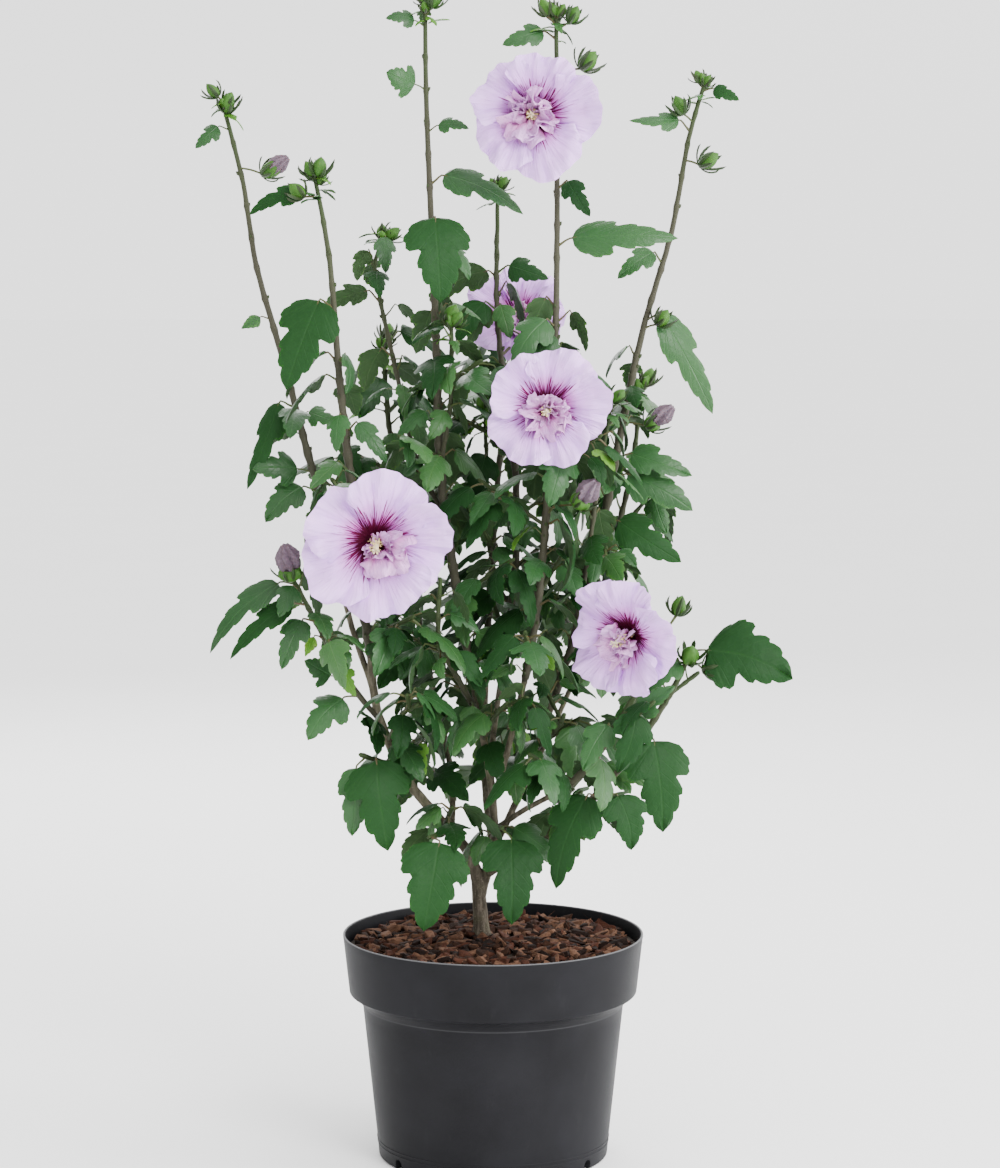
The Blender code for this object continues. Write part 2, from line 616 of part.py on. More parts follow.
def showy_leaf(masses, crown, row):
    """A leaf whose tip reaches a chosen place, arched between petiole and tip."""
    name, height, reach, width = row
    mass = masses[name]
    spot = mass.stem.at(mass.stem.share_at_height(height * MM))
    axis, along, girth = spot
    reach = Vector(reach) * MM
    for attempt in range(9):
        sway = math.radians((0, 14, -14, 28, -28, 42, -42, 60, -60)[attempt])
        tip = Matrix.Rotation(sway, 3, "Z") @ reach
        out = Vector((tip.x, tip.y, 0.0)).normalized()
        way = square_to(out, along) * 0.85 + along * 0.5
        petiole = min(10 * MM, 0.2 * reach.length)
        chord = tip - way * (petiole + girth + 1.5 * MM)
        bend = 0.8
        face = UP * 0.4 + out * 0.25 - Vector((0, 1, 0)) * 0.8
        side = chord.cross(face).normalized()
        heading = Matrix.Rotation(bend * 0.5, 3, side) @ chord.normalized()
        length = chord.length * (bend / 2) / math.sin(bend / 2)
        leaf = Leaf(axis, heading, side.cross(heading), length, width * MM, bend, LOBED_OUTLINE)
        if place_leaf(mass, crown, spot, way.normalized(), petiole, leaf):
            return True
    return False


# ---------------------------------------------------------------- twigs and buds

def add_twig(mass, crown, draw, spot, azimuth, length):
    """A side twig that rises from the stem, kept only where it touches nothing."""
    if mass.stalk_near(spot):
        return None
    axis, along, girth = spot
    for attempt in range(4):
        turn = azimuth + math.radians((0, 30, -30, 60)[attempt])
        out = Vector((math.cos(turn), math.sin(turn), 0.0))
        rise = math.radians(draw.uniform(22, 42))
        reach = length * (1.0 - 0.15 * attempt)
        way = out * math.cos(rise) + UP * math.sin(rise)
        end = axis + way * reach
        slant = max(0.3, way.cross(along).length)
        start = axis + way * (girth + SLEEVE + TWIG_RADII[0] * MM + 0.4 * MM) / slant
        root_radius, tip_radius = TWIG_RADII[0] * MM, TWIG_RADII[1] * MM
        trial = rod_mesh(start, end + way * MM, root_radius + 0.3 * MM, tip_radius + 0.3 * MM)
        points, faces = corners_and_faces(trial)
        bpy.data.meshes.remove(trial)
        if not crown.is_free(points, faces):
            continue
        mass.pieces.append(rod_mesh(axis - way * 0.4 * MM, end, root_radius, tip_radius))
        crown.add_mesh(rod_mesh(axis, end, root_radius + SLEEVE, tip_radius + SLEEVE))
        return Limb("twig", [axis, end], TWIG_RADII)
    return None


def rod_mesh(start, stop, root, tip, sides=3):
    """A straight tapering rod with few sides."""
    shape = bmesh.new()
    reach = stop - start
    bmesh.ops.create_cone(shape, cap_ends=True, segments=sides, radius1=root, radius2=tip, depth=reach.length)
    turn = reach.to_track_quat("Z", "Y").to_matrix().to_4x4()
    place = Matrix.Translation((start + stop) / 2)
    bmesh.ops.transform(shape, matrix=place @ turn @ Matrix.Rotation(ROD_ROLL, 4, "Z"), verts=shape.verts)
    return mesh_from_bmesh("rod", shape)


def leaf_twig(mass, crown, draw, twig, length):
    """Alternate leaves along a twig and one at its end."""
    flow = twig.path[-1] - twig.path[0]
    ahead = math.atan2(flow.y, flow.x)
    sign = draw.choice((-1, 1))
    for share in (0.55, 0.78):
        sign = -sign
        turn = ahead + sign * math.radians(draw.uniform(55, 85))
        seeded_leaf(mass, crown, draw, twig.at(share), turn, length * draw.uniform(0.8, 1.0))
    seeded_leaf(mass, crown, draw, twig.at(0.92), ahead + 0.2 * sign, length * draw.uniform(0.9, 1.1))


def dress(mass, crown):
    """Side twigs with leaves low on the stem, single leaves above them."""
    low, twig_top, leaf_top, leaf_length, seed = DRESSING[mass.name]
    draw = random.Random(seed)
    for order, shoot in enumerate(mass.shoots):
        azimuth = draw.uniform(0, math.tau)
        travel = 6 * MM if order else max(8 * MM, shoot.share_at_height(low * MM) * shoot.length)
        while travel < shoot.length - 4 * MM:
            spot = shoot.at(travel / shoot.length)
            height = spot[0].z
            if height > leaf_top * MM:
                break
            azimuth += GOLDEN_TURN + draw.uniform(-0.3, 0.3)
            size = leaf_length * MM * draw.uniform(0.8, 1.12)
            if height < twig_top * MM and order == 0:
                fade = min(1.0, (twig_top * MM - height) / (150 * MM))
                reach = (34 + 36 * fade) * MM * draw.uniform(0.85, 1.15)
                twig = add_twig(mass, crown, draw, spot, azimuth, reach)
                if twig:
                    leaf_twig(mass, crown, draw, twig, size)
                seeded_leaf(mass, crown, draw, spot, azimuth + 2.6, size)
                travel += TWIG_STEP * draw.uniform(0.9, 1.1)
            else:
                seeded_leaf(mass, crown, draw, spot, azimuth, size)
                travel += LEAF_STEP * draw.uniform(0.85, 1.15)
        if order:
            seeded_leaf(mass, crown, draw, shoot.at(0.97), azimuth + GOLDEN_TURN, leaf_length * MM * 0.6)


def bud_mesh(middle, way, length, width):
    """An egg-shaped bud along a direction."""
    shape = bmesh.new()
    bmesh.ops.create_uvsphere(shape, u_segments=6, v_segments=3, radius=0.5)
    turn = way.to_track_quat("Z", "Y").to_matrix().to_4x4()
    size = Matrix.Diagonal((width, width, length, 1.0))
    bmesh.ops.transform(shape, matrix=Matrix.Translation(middle) @ turn @ size, verts=shape.verts)
    return mesh_from_bmesh("bud", shape)


def add_bud(masses, crown, row):
    """A bud or spent bloom on a short stalk."""
    name, height, reach, length, width = row
    mass = masses[name]
    axis, _, _ = mass.stem.at(mass.stem.share_at_height(height * MM))
    reach = Vector(reach) * MM
    middle = axis + reach
    way = (reach.normalized() + UP * 0.6).normalized()
    mesh = bud_mesh(middle, way, length * MM, width * MM)
    mass.pieces.append(mesh)
    crown.add_mesh(mesh, mass.name)
    stalk = rod_mesh(axis - way * 0.2 * MM, middle - way * length * 0.2 * MM, 0.9 * MM, 0.9 * MM)
    mass.pieces.append(stalk)
    crown.add_mesh(stalk)


# ---------------------------------------------------------------- blooms

BLOOM_FACETS = 15            # three points on the edge of each of five petals


def corolla_mesh(radius, frame):
    """Five broad overlapping petals as one open ruffled sheet, from throat to edge."""
    shape = bmesh.new()
    rings = []
    throat = shape.verts.new((0.0, 0.0, -0.34 * radius))
    for share, depth in ((0.46, -0.12), (1.0, 0.0)):
        ring = []
        for index in range(BLOOM_FACETS):
            angle = math.tau * index / BLOOM_FACETS
            lobe = abs(math.cos(2.5 * angle))
            reach = radius * share * (1.0 - (0.11 * (1 - lobe)) * share)
            lift = radius * (depth + 0.05 * share * share * math.cos(5 * angle + 1.2))
            ring.append(shape.verts.new((reach * math.cos(angle), reach * math.sin(angle), lift)))
        rings.append(ring)
    for index in range(BLOOM_FACETS):
        after = (index + 1) % BLOOM_FACETS
        shape.faces.new((throat, rings[0][index], rings[0][after]))
        for inner, outer in zip(rings, rings[1:]):
            shape.faces.new((inner[index], outer[index], outer[after], inner[after]))
    bmesh.ops.transform(shape, matrix=frame, verts=shape.verts)
    return mesh_from_bmesh("corolla", shape)


def ruff_mesh(radius, frame):
    """The small upright petals round the column, as a low crinkled cone."""
    shape = bmesh.new()
    count = 6
    foot = [shape.verts.new((0.10 * radius * math.cos(math.tau * i / count),
                             0.10 * radius * math.sin(math.tau * i / count), -0.30 * radius))
            for i in range(count)]
    edge = []
    for index in range(count):
        angle = math.tau * index / count
        reach = radius * (0.36 if index % 2 else 0.24)
        edge.append(shape.verts.new((reach * math.cos(angle), reach * math.sin(angle),
                                     radius * (0.04 if index % 2 else 0.0))))
    top = shape.verts.new((0.0, 0.0, -0.04 * radius))
    for index in range(count):
        after = (index + 1) % count
        shape.faces.new((foot[index], foot[after], edge[after], edge[index]))
        shape.faces.new((edge[index], edge[after], top))
    shape.faces.new(list(reversed(foot)))
    bmesh.ops.recalc_face_normals(shape, faces=shape.faces)
    bmesh.ops.transform(shape, matrix=frame, verts=shape.verts)
    return mesh_from_bmesh("ruff", shape)


def turned_piece(name, profile, frame, sides=8):
    """A closed turned piece from (radius, height) pairs, both ends on its axis."""
    shape = bmesh.new()
    rings = []
    for reach, height in profile:
        if reach == 0.0:
            rings.append([shape.verts.new((0.0, 0.0, height))])
        else:
            rings.append([shape.verts.new((reach * math.cos(math.tau * i / sides),
                                           reach * math.sin(math.tau * i / sides), height))
                          for i in range(sides)])
    for lower, upper in zip(rings, rings[1:]):
        for index in range(sides):
            after = (index + 1) % sides
            corners = [lower[index % len(lower)], lower[after % len(lower)],
                       upper[after % len(upper)], upper[index % len(upper)]]
            shape.faces.new(list(dict.fromkeys(corners)))
    bmesh.ops.recalc_face_normals(shape, faces=shape.faces)
    bmesh.ops.transform(shape, matrix=frame, verts=shape.verts)
    return mesh_from_bmesh(name, shape)


def bloom_frame(centre, look):
    """Places a bloom: its own +Z looks out of the flower."""
    turn = Vector(look).normalized().to_track_quat("Z", "Y").to_matrix().to_4x4()
    return Matrix.Translation(Vector(centre) * MM) @ turn


def bloom_pieces(radius, frame):
    """Corolla, ruff, column and calyx of one bloom."""
    sheet = bpy.data.objects.new("sheet", corolla_mesh(radius, frame))
    bpy.context.scene.collection.objects.link(sheet)
    wall = sheet.modifiers.new("wall", "SOLIDIFY")
    wall.thickness = 1.6 * MM
    wall.offset = 0.0
    corolla = evaluated_copy(sheet)
    bpy.data.objects.remove(sheet, do_unlink=True)
    column = turned_piece("column", ((0.0, -0.38 * radius), (3.2 * MM, -0.36 * radius),
                                     (2.6 * MM, 0.02 * radius), (4.2 * MM, 0.12 * radius),
                                     (0.0, 0.24 * radius)), frame, 5)
    calyx = turned_piece("calyx", ((0.0, -0.60 * radius), (5.0 * MM, -0.54 * radius),
                                   (0.20 * radius, -0.25 * radius), (0.0, -0.22 * radius)), frame, 6)
    return [corolla, ruff_mesh(radius, frame), column, calyx]


# ---------------------------------------------------------------- fusing

def fuse(name, first, pieces, parts):
    """One Boolean union of a mesh with a collection of others, applied."""
    group = make_collection("joining_" + name)
    for index, mesh in enumerate(pieces):
        add_object(f"{name}_piece_{index}", mesh, group)
    item = add_object(name, first, parts)
    union = item.modifiers.new("union", "BOOLEAN")
    union.operation = "UNION"
    union.operand_type = "COLLECTION"
    union.collection = group
    union.solver = "MANIFOLD"
    mesh = evaluated_copy(item, weld=False)
    item.modifiers.remove(union)
    item.data = mesh
    for piece in list(group.objects):
        bpy.data.objects.remove(piece, do_unlink=True)
    bpy.data.collections.remove(group)
    return item


# ---------------------------------------------------------------- pot and filling

def turned_object(name, profile, group):
    """A solid of revolution: the profile starts and ends on the axis and runs down the outside."""
    shape = bmesh.new()
    verts = [shape.verts.new((reach, 0.0, height)) for reach, height in profile]
    for start, stop in zip(verts, verts[1:]):
        shape.edges.new((start, stop))
    item = add_object(name, mesh_from_bmesh(name, shape), group)
    screw = item.modifiers.new("turn", "SCREW")
    screw.steps = POT_FACETS
    screw.render_steps = POT_FACETS
    screw.use_merge_vertices = True
    screw.merge_threshold = 0.00001
    screw.use_smooth_shade = True
    return item


def inner_profile(clear):
    """The pot's inner face from the floor's middle to under the rim, moved in by a clearance."""
    top = POT_HEIGHT - BAND_DEPTH
    return [
        (0.0, FLOOR + clear),
        (PAD_RADIUS - WALL - clear, FLOOR + clear),
        (PAD_RADIUS + 2 * WALL - clear, CHANNEL_HEIGHT + FLOOR + clear),
        (FOOT_RADIUS - 3 * WALL - clear, CHANNEL_HEIGHT + FLOOR + clear),
        (FOOT_RADIUS - WALL - clear, CHANNEL_HEIGHT + 4 * FLOOR),
        (WALL_TOP_RADIUS - WALL - clear, top - BAND_STEP),
        (BAND_FOOT_RADIUS - WALL - clear, top + RIM_EDGE),
    ]


def make_pot(group, cutters):
    """The pot, with notches cut up through its foot ring."""
    top = POT_HEIGHT - BAND_DEPTH
    outer = [
        (RIM_RADIUS - WALL, POT_HEIGHT),
        (RIM_RADIUS - RIM_EDGE, POT_HEIGHT),
        (RIM_RADIUS, POT_HEIGHT - RIM_EDGE),
        (BAND_FOOT_RADIUS, top),
        (BAND_FOOT_RADIUS - RIM_EDGE, top - 1.5 * RIM_EDGE),
        (WALL_TOP_RADIUS, top - BAND_STEP),
        (FOOT_RADIUS, 2 * WALL),
        (FOOT_RADIUS - WALL, 0.0),
        (FOOT_RADIUS - 3 * WALL, 0.0),
        (FOOT_RADIUS - 4 * WALL, CHANNEL_HEIGHT),
        (PAD_RADIUS + 2 * WALL, CHANNEL_HEIGHT),
        (PAD_RADIUS, 0.0),
        (0.0, 0.0),
    ]
    pot = turned_object("pot", inner_profile(0.0) + outer, group)
    for angle in NOTCH_ANGLES:
        shape = bmesh.new()
        bmesh.ops.create_cube(shape, size=1.0)
        size = Matrix.Diagonal((NOTCH_WIDTH, 9 * WALL, 2 * NOTCH_HEIGHT, 1.0))
        out = Matrix.Translation((0.0, -(FOOT_RADIUS - 2 * WALL), 0.0))
        turn = Matrix.Rotation(math.radians(angle), 4, "Z")
        bmesh.ops.transform(shape, matrix=turn @ out @ size, verts=shape.verts)
        cutter = add_cutter(f"notch_{angle}", mesh_from_bmesh("notch", shape), cutters)
        cut = pot.modifiers.new("notch", "BOOLEAN")
        cut.operation = "DIFFERENCE"
        cut.object = cutter


def make_filling(group):
    """The root ball, and the bark mulch that lies on it, both clear of the pot."""
    edge = POT_HEIGHT - MULCH_EDGE_DROP
    ball_top = edge - MULCH_DEPTH
    inner = inner_profile(GAP)
    band_reach, band_low = inner[-1]
    slope = (RIM_RADIUS - BAND_FOOT_RADIUS - RIM_EDGE) / (POT_HEIGHT - band_low)
    ball_reach = band_reach + slope * (ball_top - band_low)
    turned_object("root_ball", [(0.0, ball_top), (ball_reach, ball_top)] + inner[::-1], group)
    mulch_reach = band_reach + slope * (edge - band_low)
    turned_object("bark_mulch", [
        (0.0, MULCH_TOP),
        (MULCH_FLAT_RADIUS, MULCH_TOP),
        (0.55 * mulch_reach, edge + 0.45 * MULCH_CROWN),
        (mulch_reach, edge),
        (ball_reach, ball_top + GAP),
        (0.0, ball_top + GAP)], group)


# ---------------------------------------------------------------- the whole plant

def build_limbs(group, cutters, crown):
    """Trunk and boughs as solids.  Returns every limb by name."""
    trunk = Limb("trunk", [TRUNK_FOOT] + millimetres(TRUNK_PATH), TRUNK_RADII)
    limbs = {"trunk": trunk}
    item = add_object("trunk", tube_mesh("trunk", trunk.path, trunk.radii, TRUNK_SIDES), group)
    crown.add_mesh(item.data, "trunk")
    for name, carrier, share, points, root, tip in BOUGHS:
        limb = grow_limb(name, limbs[carrier], share, points, root, tip)
        mesh = tube_mesh(name, limb.path, limb.radii, BOUGH_SIDES)
        item = add_object(name, mesh, group)
        for other in crown.touched_by(mesh):
            seat_on(item, limbs[other], TRUNK_SIDES if other == "trunk" else BOUGH_SIDES, cutters)
        crown.add_mesh(mesh, name)
        limbs[name] = limb
    return limbs


def start_masses(limbs, crown):
    """The stems of the leafy masses and the side shoots fused to them."""
    masses = {}
    for name, carrier, share, points, root, tip in MASSES:
        stem = grow_limb(name, limbs[carrier], share, points, root, tip)
        masses[name] = Mass(name, stem)
        crown.add_sleeve(stem)
    for name, height, points, root, tip in SIDE_SHOOTS:
        mass = masses[name]
        share = mass.stem.share_at_height(height * MM)
        shoot = grow_limb(name, mass.stem, min(share, 0.99), points, root, tip)
        mass.shoots.append(shoot)
        mass.pieces.append(tube_mesh("shoot", shoot.path, shoot.radii, STEM_SIDES))
        crown.add_sleeve(shoot)
    return masses


def start_blooms(masses, crown):
    """The pieces of each bloom and its stalk, whose root lies at the stem's axis."""
    blooms = []
    for name, carrier, height, centre, look, radius in BLOOMS:
        stem = masses[carrier].stem
        axis, _, _ = stem.at(stem.share_at_height(height * MM))
        masses[carrier].stalk_roots.append(axis)
        frame = bloom_frame(centre, look)
        reach = radius * MM
        back = frame @ Vector((0.0, 0.0, -0.50 * reach))
        behind = frame @ Vector((0.0, 0.0, -0.56 * reach - 12 * MM))
        path = smooth_path([axis, behind, back], 25 * MM)
        stalk = Limb(name, path, STALK_RADII)
        pieces = bloom_pieces(reach, frame)
        for mesh in pieces:
            crown.add_mesh(mesh, name)
        crown.add_mesh(tube_mesh("clear", path, stalk.radii, STEM_SIDES))
        blooms.append((name, carrier, stalk, pieces))
    return blooms


def build_masses(masses, limbs, group, cutters):
    """Fuses each mass and seats it on its carrier."""
    carriers = {row[0]: (row[1], row[2]) for row in MASSES}
    for name, mass in masses.items():
        stem = mass.stem
        item = fuse(name, tube_mesh(name, stem.path, stem.radii, STEM_SIDES), mass.pieces, group)
        carrier, share = carriers[name]
        if share < 1.0:
            seat_on(item, limbs[carrier], BOUGH_SIDES, cutters)


def build_blooms(blooms, masses, group, cutters):
    """Fuses each bloom to its stalk and seats the stalk on the stem that carries it."""
    for name, carrier, stalk, pieces in blooms:
        item = fuse(name, tube_mesh(name, stalk.path, stalk.radii, STEM_SIDES), pieces, group)
        seat_on(item, masses[carrier].stem, STEM_SIDES, cutters)


def paint(group, materials):
    """Gives every solid its own copy of its finish and smooth round faces."""
    for item in group.objects:
        kind = item.name.split("_")[0]
        finish = {"pot": "pot", "root": "root_ball", "trunk": "bark", "bough": "bark",
                  "foliage": "foliage", "bloom": "petals"}.get(kind, "bark_mulch")
        material = materials[finish].copy()
        material.name = finish + "_" + item.name
        item.data.materials.clear()
        item.data.materials.append(material)
        item.data.shade_smooth()


def main():
    clear_scene()
    parts = make_collection("hibiscus_shrub")
    cutters = make_collection("cutters")
    crown = Crown()
    make_pot(parts, cutters)
    make_filling(parts)
    limbs = build_limbs(parts, cutters, crown)
    masses = start_masses(limbs, crown)
    blooms = start_blooms(masses, crown)
    for row in BUDS:
        add_bud(masses, crown, row)
    for row in SHOWY_LEAVES:
        showy_leaf(masses, crown, row)
    for mass in masses.values():
        dress(mass, crown)
    build_masses(masses, limbs, parts, cutters)
    build_blooms(blooms, masses, parts, cutters)
    paint(parts, {name: make_material(name) for name in COLORS})


main()
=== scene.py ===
"""The potted hibiscus shrub: pot, bark mulch, trunk, boughs, leaves, buds and blooms.

Metres, +Z up, the plant's front towards -Y.  Limbs are rows of a few points in millimetres.  Leaves,
twigs and buds grow from them by a seeded rule, and then smaller ones fill in between, each only
where it touches nothing that already stands.
"""
import json
import math
import random

import bmesh
import bpy
import numpy as np
from mathutils import Matrix, Vector, noise
from mathutils.bvhtree import BVHTree

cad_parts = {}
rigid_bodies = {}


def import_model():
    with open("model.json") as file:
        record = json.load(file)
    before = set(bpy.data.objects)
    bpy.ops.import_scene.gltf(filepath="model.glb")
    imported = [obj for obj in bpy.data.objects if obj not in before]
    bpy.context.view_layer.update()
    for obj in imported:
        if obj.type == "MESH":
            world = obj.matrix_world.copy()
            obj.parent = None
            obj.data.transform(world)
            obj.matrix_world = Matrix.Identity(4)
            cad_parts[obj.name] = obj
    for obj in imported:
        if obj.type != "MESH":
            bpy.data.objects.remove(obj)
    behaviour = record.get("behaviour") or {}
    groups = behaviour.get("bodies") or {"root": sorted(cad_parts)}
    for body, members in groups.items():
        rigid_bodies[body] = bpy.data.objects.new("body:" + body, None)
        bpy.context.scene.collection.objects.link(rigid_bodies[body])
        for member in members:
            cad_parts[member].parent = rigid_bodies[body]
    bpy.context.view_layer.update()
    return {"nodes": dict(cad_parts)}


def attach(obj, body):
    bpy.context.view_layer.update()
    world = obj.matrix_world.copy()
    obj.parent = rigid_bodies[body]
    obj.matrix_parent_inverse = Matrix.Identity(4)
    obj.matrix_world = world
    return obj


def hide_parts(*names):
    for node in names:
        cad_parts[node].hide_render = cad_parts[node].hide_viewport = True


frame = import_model()

MM = 0.001
GAP = 0.3 * MM
UP = Vector((0.0, 0.0, 1.0))
GOLDEN_TURN = math.radians(137.5)


# ---------------------------------------------------------------- sizes

POT_HEIGHT = 194 * MM
RIM_RADIUS = 130 * MM
BAND_FOOT_RADIUS = 124.5 * MM
BAND_DEPTH = 50 * MM
BAND_STEP = 11 * MM          # height of the slope under the band
RIM_EDGE = 1.0 * MM
WALL_TOP_RADIUS = 113 * MM
FOOT_RADIUS = 99.5 * MM
WALL = 2.0 * MM
FLOOR = 2.5 * MM
PAD_RADIUS = 66 * MM
CHANNEL_HEIGHT = 10 * MM
NOTCH_WIDTH = 9 * MM
NOTCH_HEIGHT = 9 * MM
NOTCH_ANGLES = (-126, -54, 54, 126)
MULCH_EDGE_DROP = 9 * MM
MULCH_CROWN = 5.5 * MM
MULCH_TOP = POT_HEIGHT - MULCH_EDGE_DROP + MULCH_CROWN

# The trunk, from its flat cut on the mulch to its fork.
TRUNK_FOOT = Vector((-10 * MM, 4 * MM, MULCH_TOP + GAP))
TRUNK_PATH = ((-10, 4, 195), (-10.6, 4, 204), (-12, 4, 222), (-13, 4, 240))
TRUNK_RADII = (9.2, 7.2, 6.6, 6.2, 6.0)

# Boughs: name, carried by, share of the carrier's length, points passed, radius at root and tip.
BOUGHS = (
    ("bough_left", "trunk", 1.00,
     ((-24, 3, 268), (-70, -5, 322), (-99, -14, 388), (-104, -18, 436)), 4.8, 3.5),
    ("bough_outer_left", "bough_left", 0.88, ((-122, 2, 462), (-137, 20, 525)), 2.8, 2.5),
    ("bough_centre", "trunk", 0.62, ((0, 0, 262), (-1, 0, 320), (-17, 0, 412)), 3.9, 3.2),
    ("bough_low_right", "bough_centre", 0.13, ((32, -12, 268), (67, -18, 297), (106, -20, 337)), 3.0, 2.4),
    ("bough_right", "bough_centre", 0.25, ((24, 16, 314), (54, 24, 398)), 3.2, 2.9),
    ("bough_front_right", "bough_centre", 0.33, ((28, -34, 308), (60, -52, 328)), 2.6, 2.3),
    ("bough_inner", "bough_centre", 0.46, ((12, -12, 352), (27, -18, 416)), 2.8, 2.6),
    ("bough_back", "bough_centre", 0.56, ((0, 30, 362), (10, 52, 428)), 2.8, 2.6),
    ("bough_rear_left", "bough_left", 0.22, ((-36, 36, 326), (-56, 66, 412)), 2.9, 2.5),
    ("bough_rear", "bough_centre", 0.22, ((-8, 50, 322), (-6, 96, 415)), 2.9, 2.5),
    ("bough_rear_right", "bough_right", 0.40, ((50, 50, 360), (78, 74, 420)), 2.5, 2.3),
)

# The stem of each leafy mass, in the same form.
MASSES = (
    ("foliage_outer_left", "bough_outer_left", 1.00,
     ((-160, 32, 607), (-182, 40, 690), (-205, 42, 772), (-214, 42, 836), (-232, 42, 908)), 2.5, 1.3),
    ("foliage_left", "bough_left", 1.00,
     ((-110, -20, 475), (-121, -28, 596), (-129, -30, 672), (-137, -30, 775), (-149, -30, 842)), 3.4, 1.3),
    ("foliage_low_left", "bough_left", 0.74, ((-124, -38, 420), (-146, -48, 464), (-168, -50, 506)), 2.1, 1.4),
    ("foliage_tall", "bough_centre", 1.00,
     ((-35, 0, 516), (-45, 0, 598), (-49, 0, 725), (-56, 0, 900), (-57, 0, 985)), 3.2, 1.3),
    ("foliage_back", "bough_back", 1.00,
     ((20, 60, 518), (18, 60, 608), (4, 62, 718), (4, 62, 838)), 2.6, 1.3),
    ("foliage_inner", "bough_inner", 1.00,
     ((43, -20, 530), (52, -20, 690), (54, -20, 800), (53, -20, 974)), 2.6, 1.3),
    ("foliage_right", "bough_right", 1.00,
     ((88, 30, 515), (114, 30, 645), (131, 30, 722), (154, 30, 800), (166, 30, 872), (181, 30, 925)),
     2.9, 1.3),
    ("foliage_front_right", "bough_front_right", 1.00, ((96, -70, 372), (127, -76, 426)), 2.3, 1.5),
    ("foliage_low_right", "bough_low_right", 1.00,
     ((131, -20, 372), (156, -22, 414), (170, -22, 444)), 2.4, 1.5),
    ("foliage_rear_left", "bough_rear_left", 1.00, ((-78, 98, 515), (-92, 112, 620), (-98, 116, 700)), 2.5, 1.3),
    ("foliage_rear", "bough_rear", 1.00, ((0, 132, 520), (8, 146, 640), (10, 150, 740)), 2.5, 1.3),
    ("foliage_rear_right", "bough_rear_right", 1.00,
     ((102, 104, 500), (124, 122, 590), (132, 126, 660)), 2.3, 1.3),
    ("foliage_core", "bough_centre", 0.84, ((-32, -34, 424), (-46, -50, 452), (-44, -52, 506)), 1.9, 1.3),
    ("foliage_waist_left", "bough_left", 0.66, ((-76, -44, 392), (-62, -78, 404)), 1.8, 1.4),
    ("foliage_waist_front", "bough_centre", 0.74, ((2, -40, 390), (12, -72, 404)), 1.8, 1.4),
    ("foliage_waist_right", "bough_right", 0.66, ((56, -16, 376), (60, -56, 392)), 1.8, 1.4),
    ("foliage_skirt_front", "bough_centre", 0.30, ((3, -30, 292), (8, -60, 296)), 1.8, 1.4),
    ("foliage_skirt_front_left", "bough_left", 0.26, ((-42, -34, 286), (-54, -60, 288)), 1.8, 1.4),
    ("foliage_skirt_left", "bough_left", 0.56, ((-94, -34, 348), (-112, -44, 356)), 1.8, 1.4),
    ("foliage_skirt_right", "bough_low_right", 0.62, ((84, -48, 318), (92, -66, 326)), 1.7, 1.4),
    ("foliage_skirt_rear_left", "bough_rear_left", 0.30, ((-62, 48, 332), (-90, 62, 352)), 1.8, 1.4),
    ("foliage_skirt_rear", "bough_rear", 0.42, ((20, 84, 350), (26, 110, 362)), 1.8, 1.4),
    ("foliage_skirt_rear_right", "bough_low_right", 0.44, ((66, 20, 314), (92, 50, 338)), 1.7, 1.4),
)

# Long side shoots that are fused to a mass: mass, height they leave its stem at, points, radii.
SIDE_SHOOTS = (
    ("foliage_tall", 556, ((-66, 26, 600), (-80, 46, 660), (-97, 50, 735), (-103, 50, 770), (-94, 50, 796)),
     1.9, 1.3),
    ("foliage_tall", 600, ((-36, -16, 650), (-35, -20, 716)), 1.6, 1.3),
    ("foliage_back", 470, ((-2, 72, 512), (-7, 74, 640)), 1.6, 1.3),
    ("foliage_right", 440, ((80, 2, 512), (89, -8, 580), (100, -10, 652)), 1.8, 1.3),
)

# Blooms: name, mass that carries it, height its stalk leaves the stem at, centre, where it looks, radius.
BLOOMS = (
    ("bloom_left", "foliage_left", 500, (-96, -118, 541), (0.12, -1.0, -0.10), 65),
    ("bloom_top", "foliage_inner", 862, (32, -58, 894), (-0.12, -1.0, 0.10), 57),
    ("bloom_middle", "foliage_inner", 634, (44, -70, 650), (0.02, -1.0, 0.02), 54),
    ("bloom_right", "foliage_front_right", 418, (103, -118, 464), (-0.85, -1.0, -0.18), 53),
    ("bloom_back", "foliage_back", 690, (22, 98, 729), (-0.10, -0.75, 0.45), 48),
    ("bloom_rear_left", "foliage_rear_left", 470, (-102, 170, 512), (-0.30, 1.0, 0.10), 52),
    ("bloom_rear", "foliage_rear", 592, (45, 198, 636), (0.30, 1.0, 0.05), 50),
)

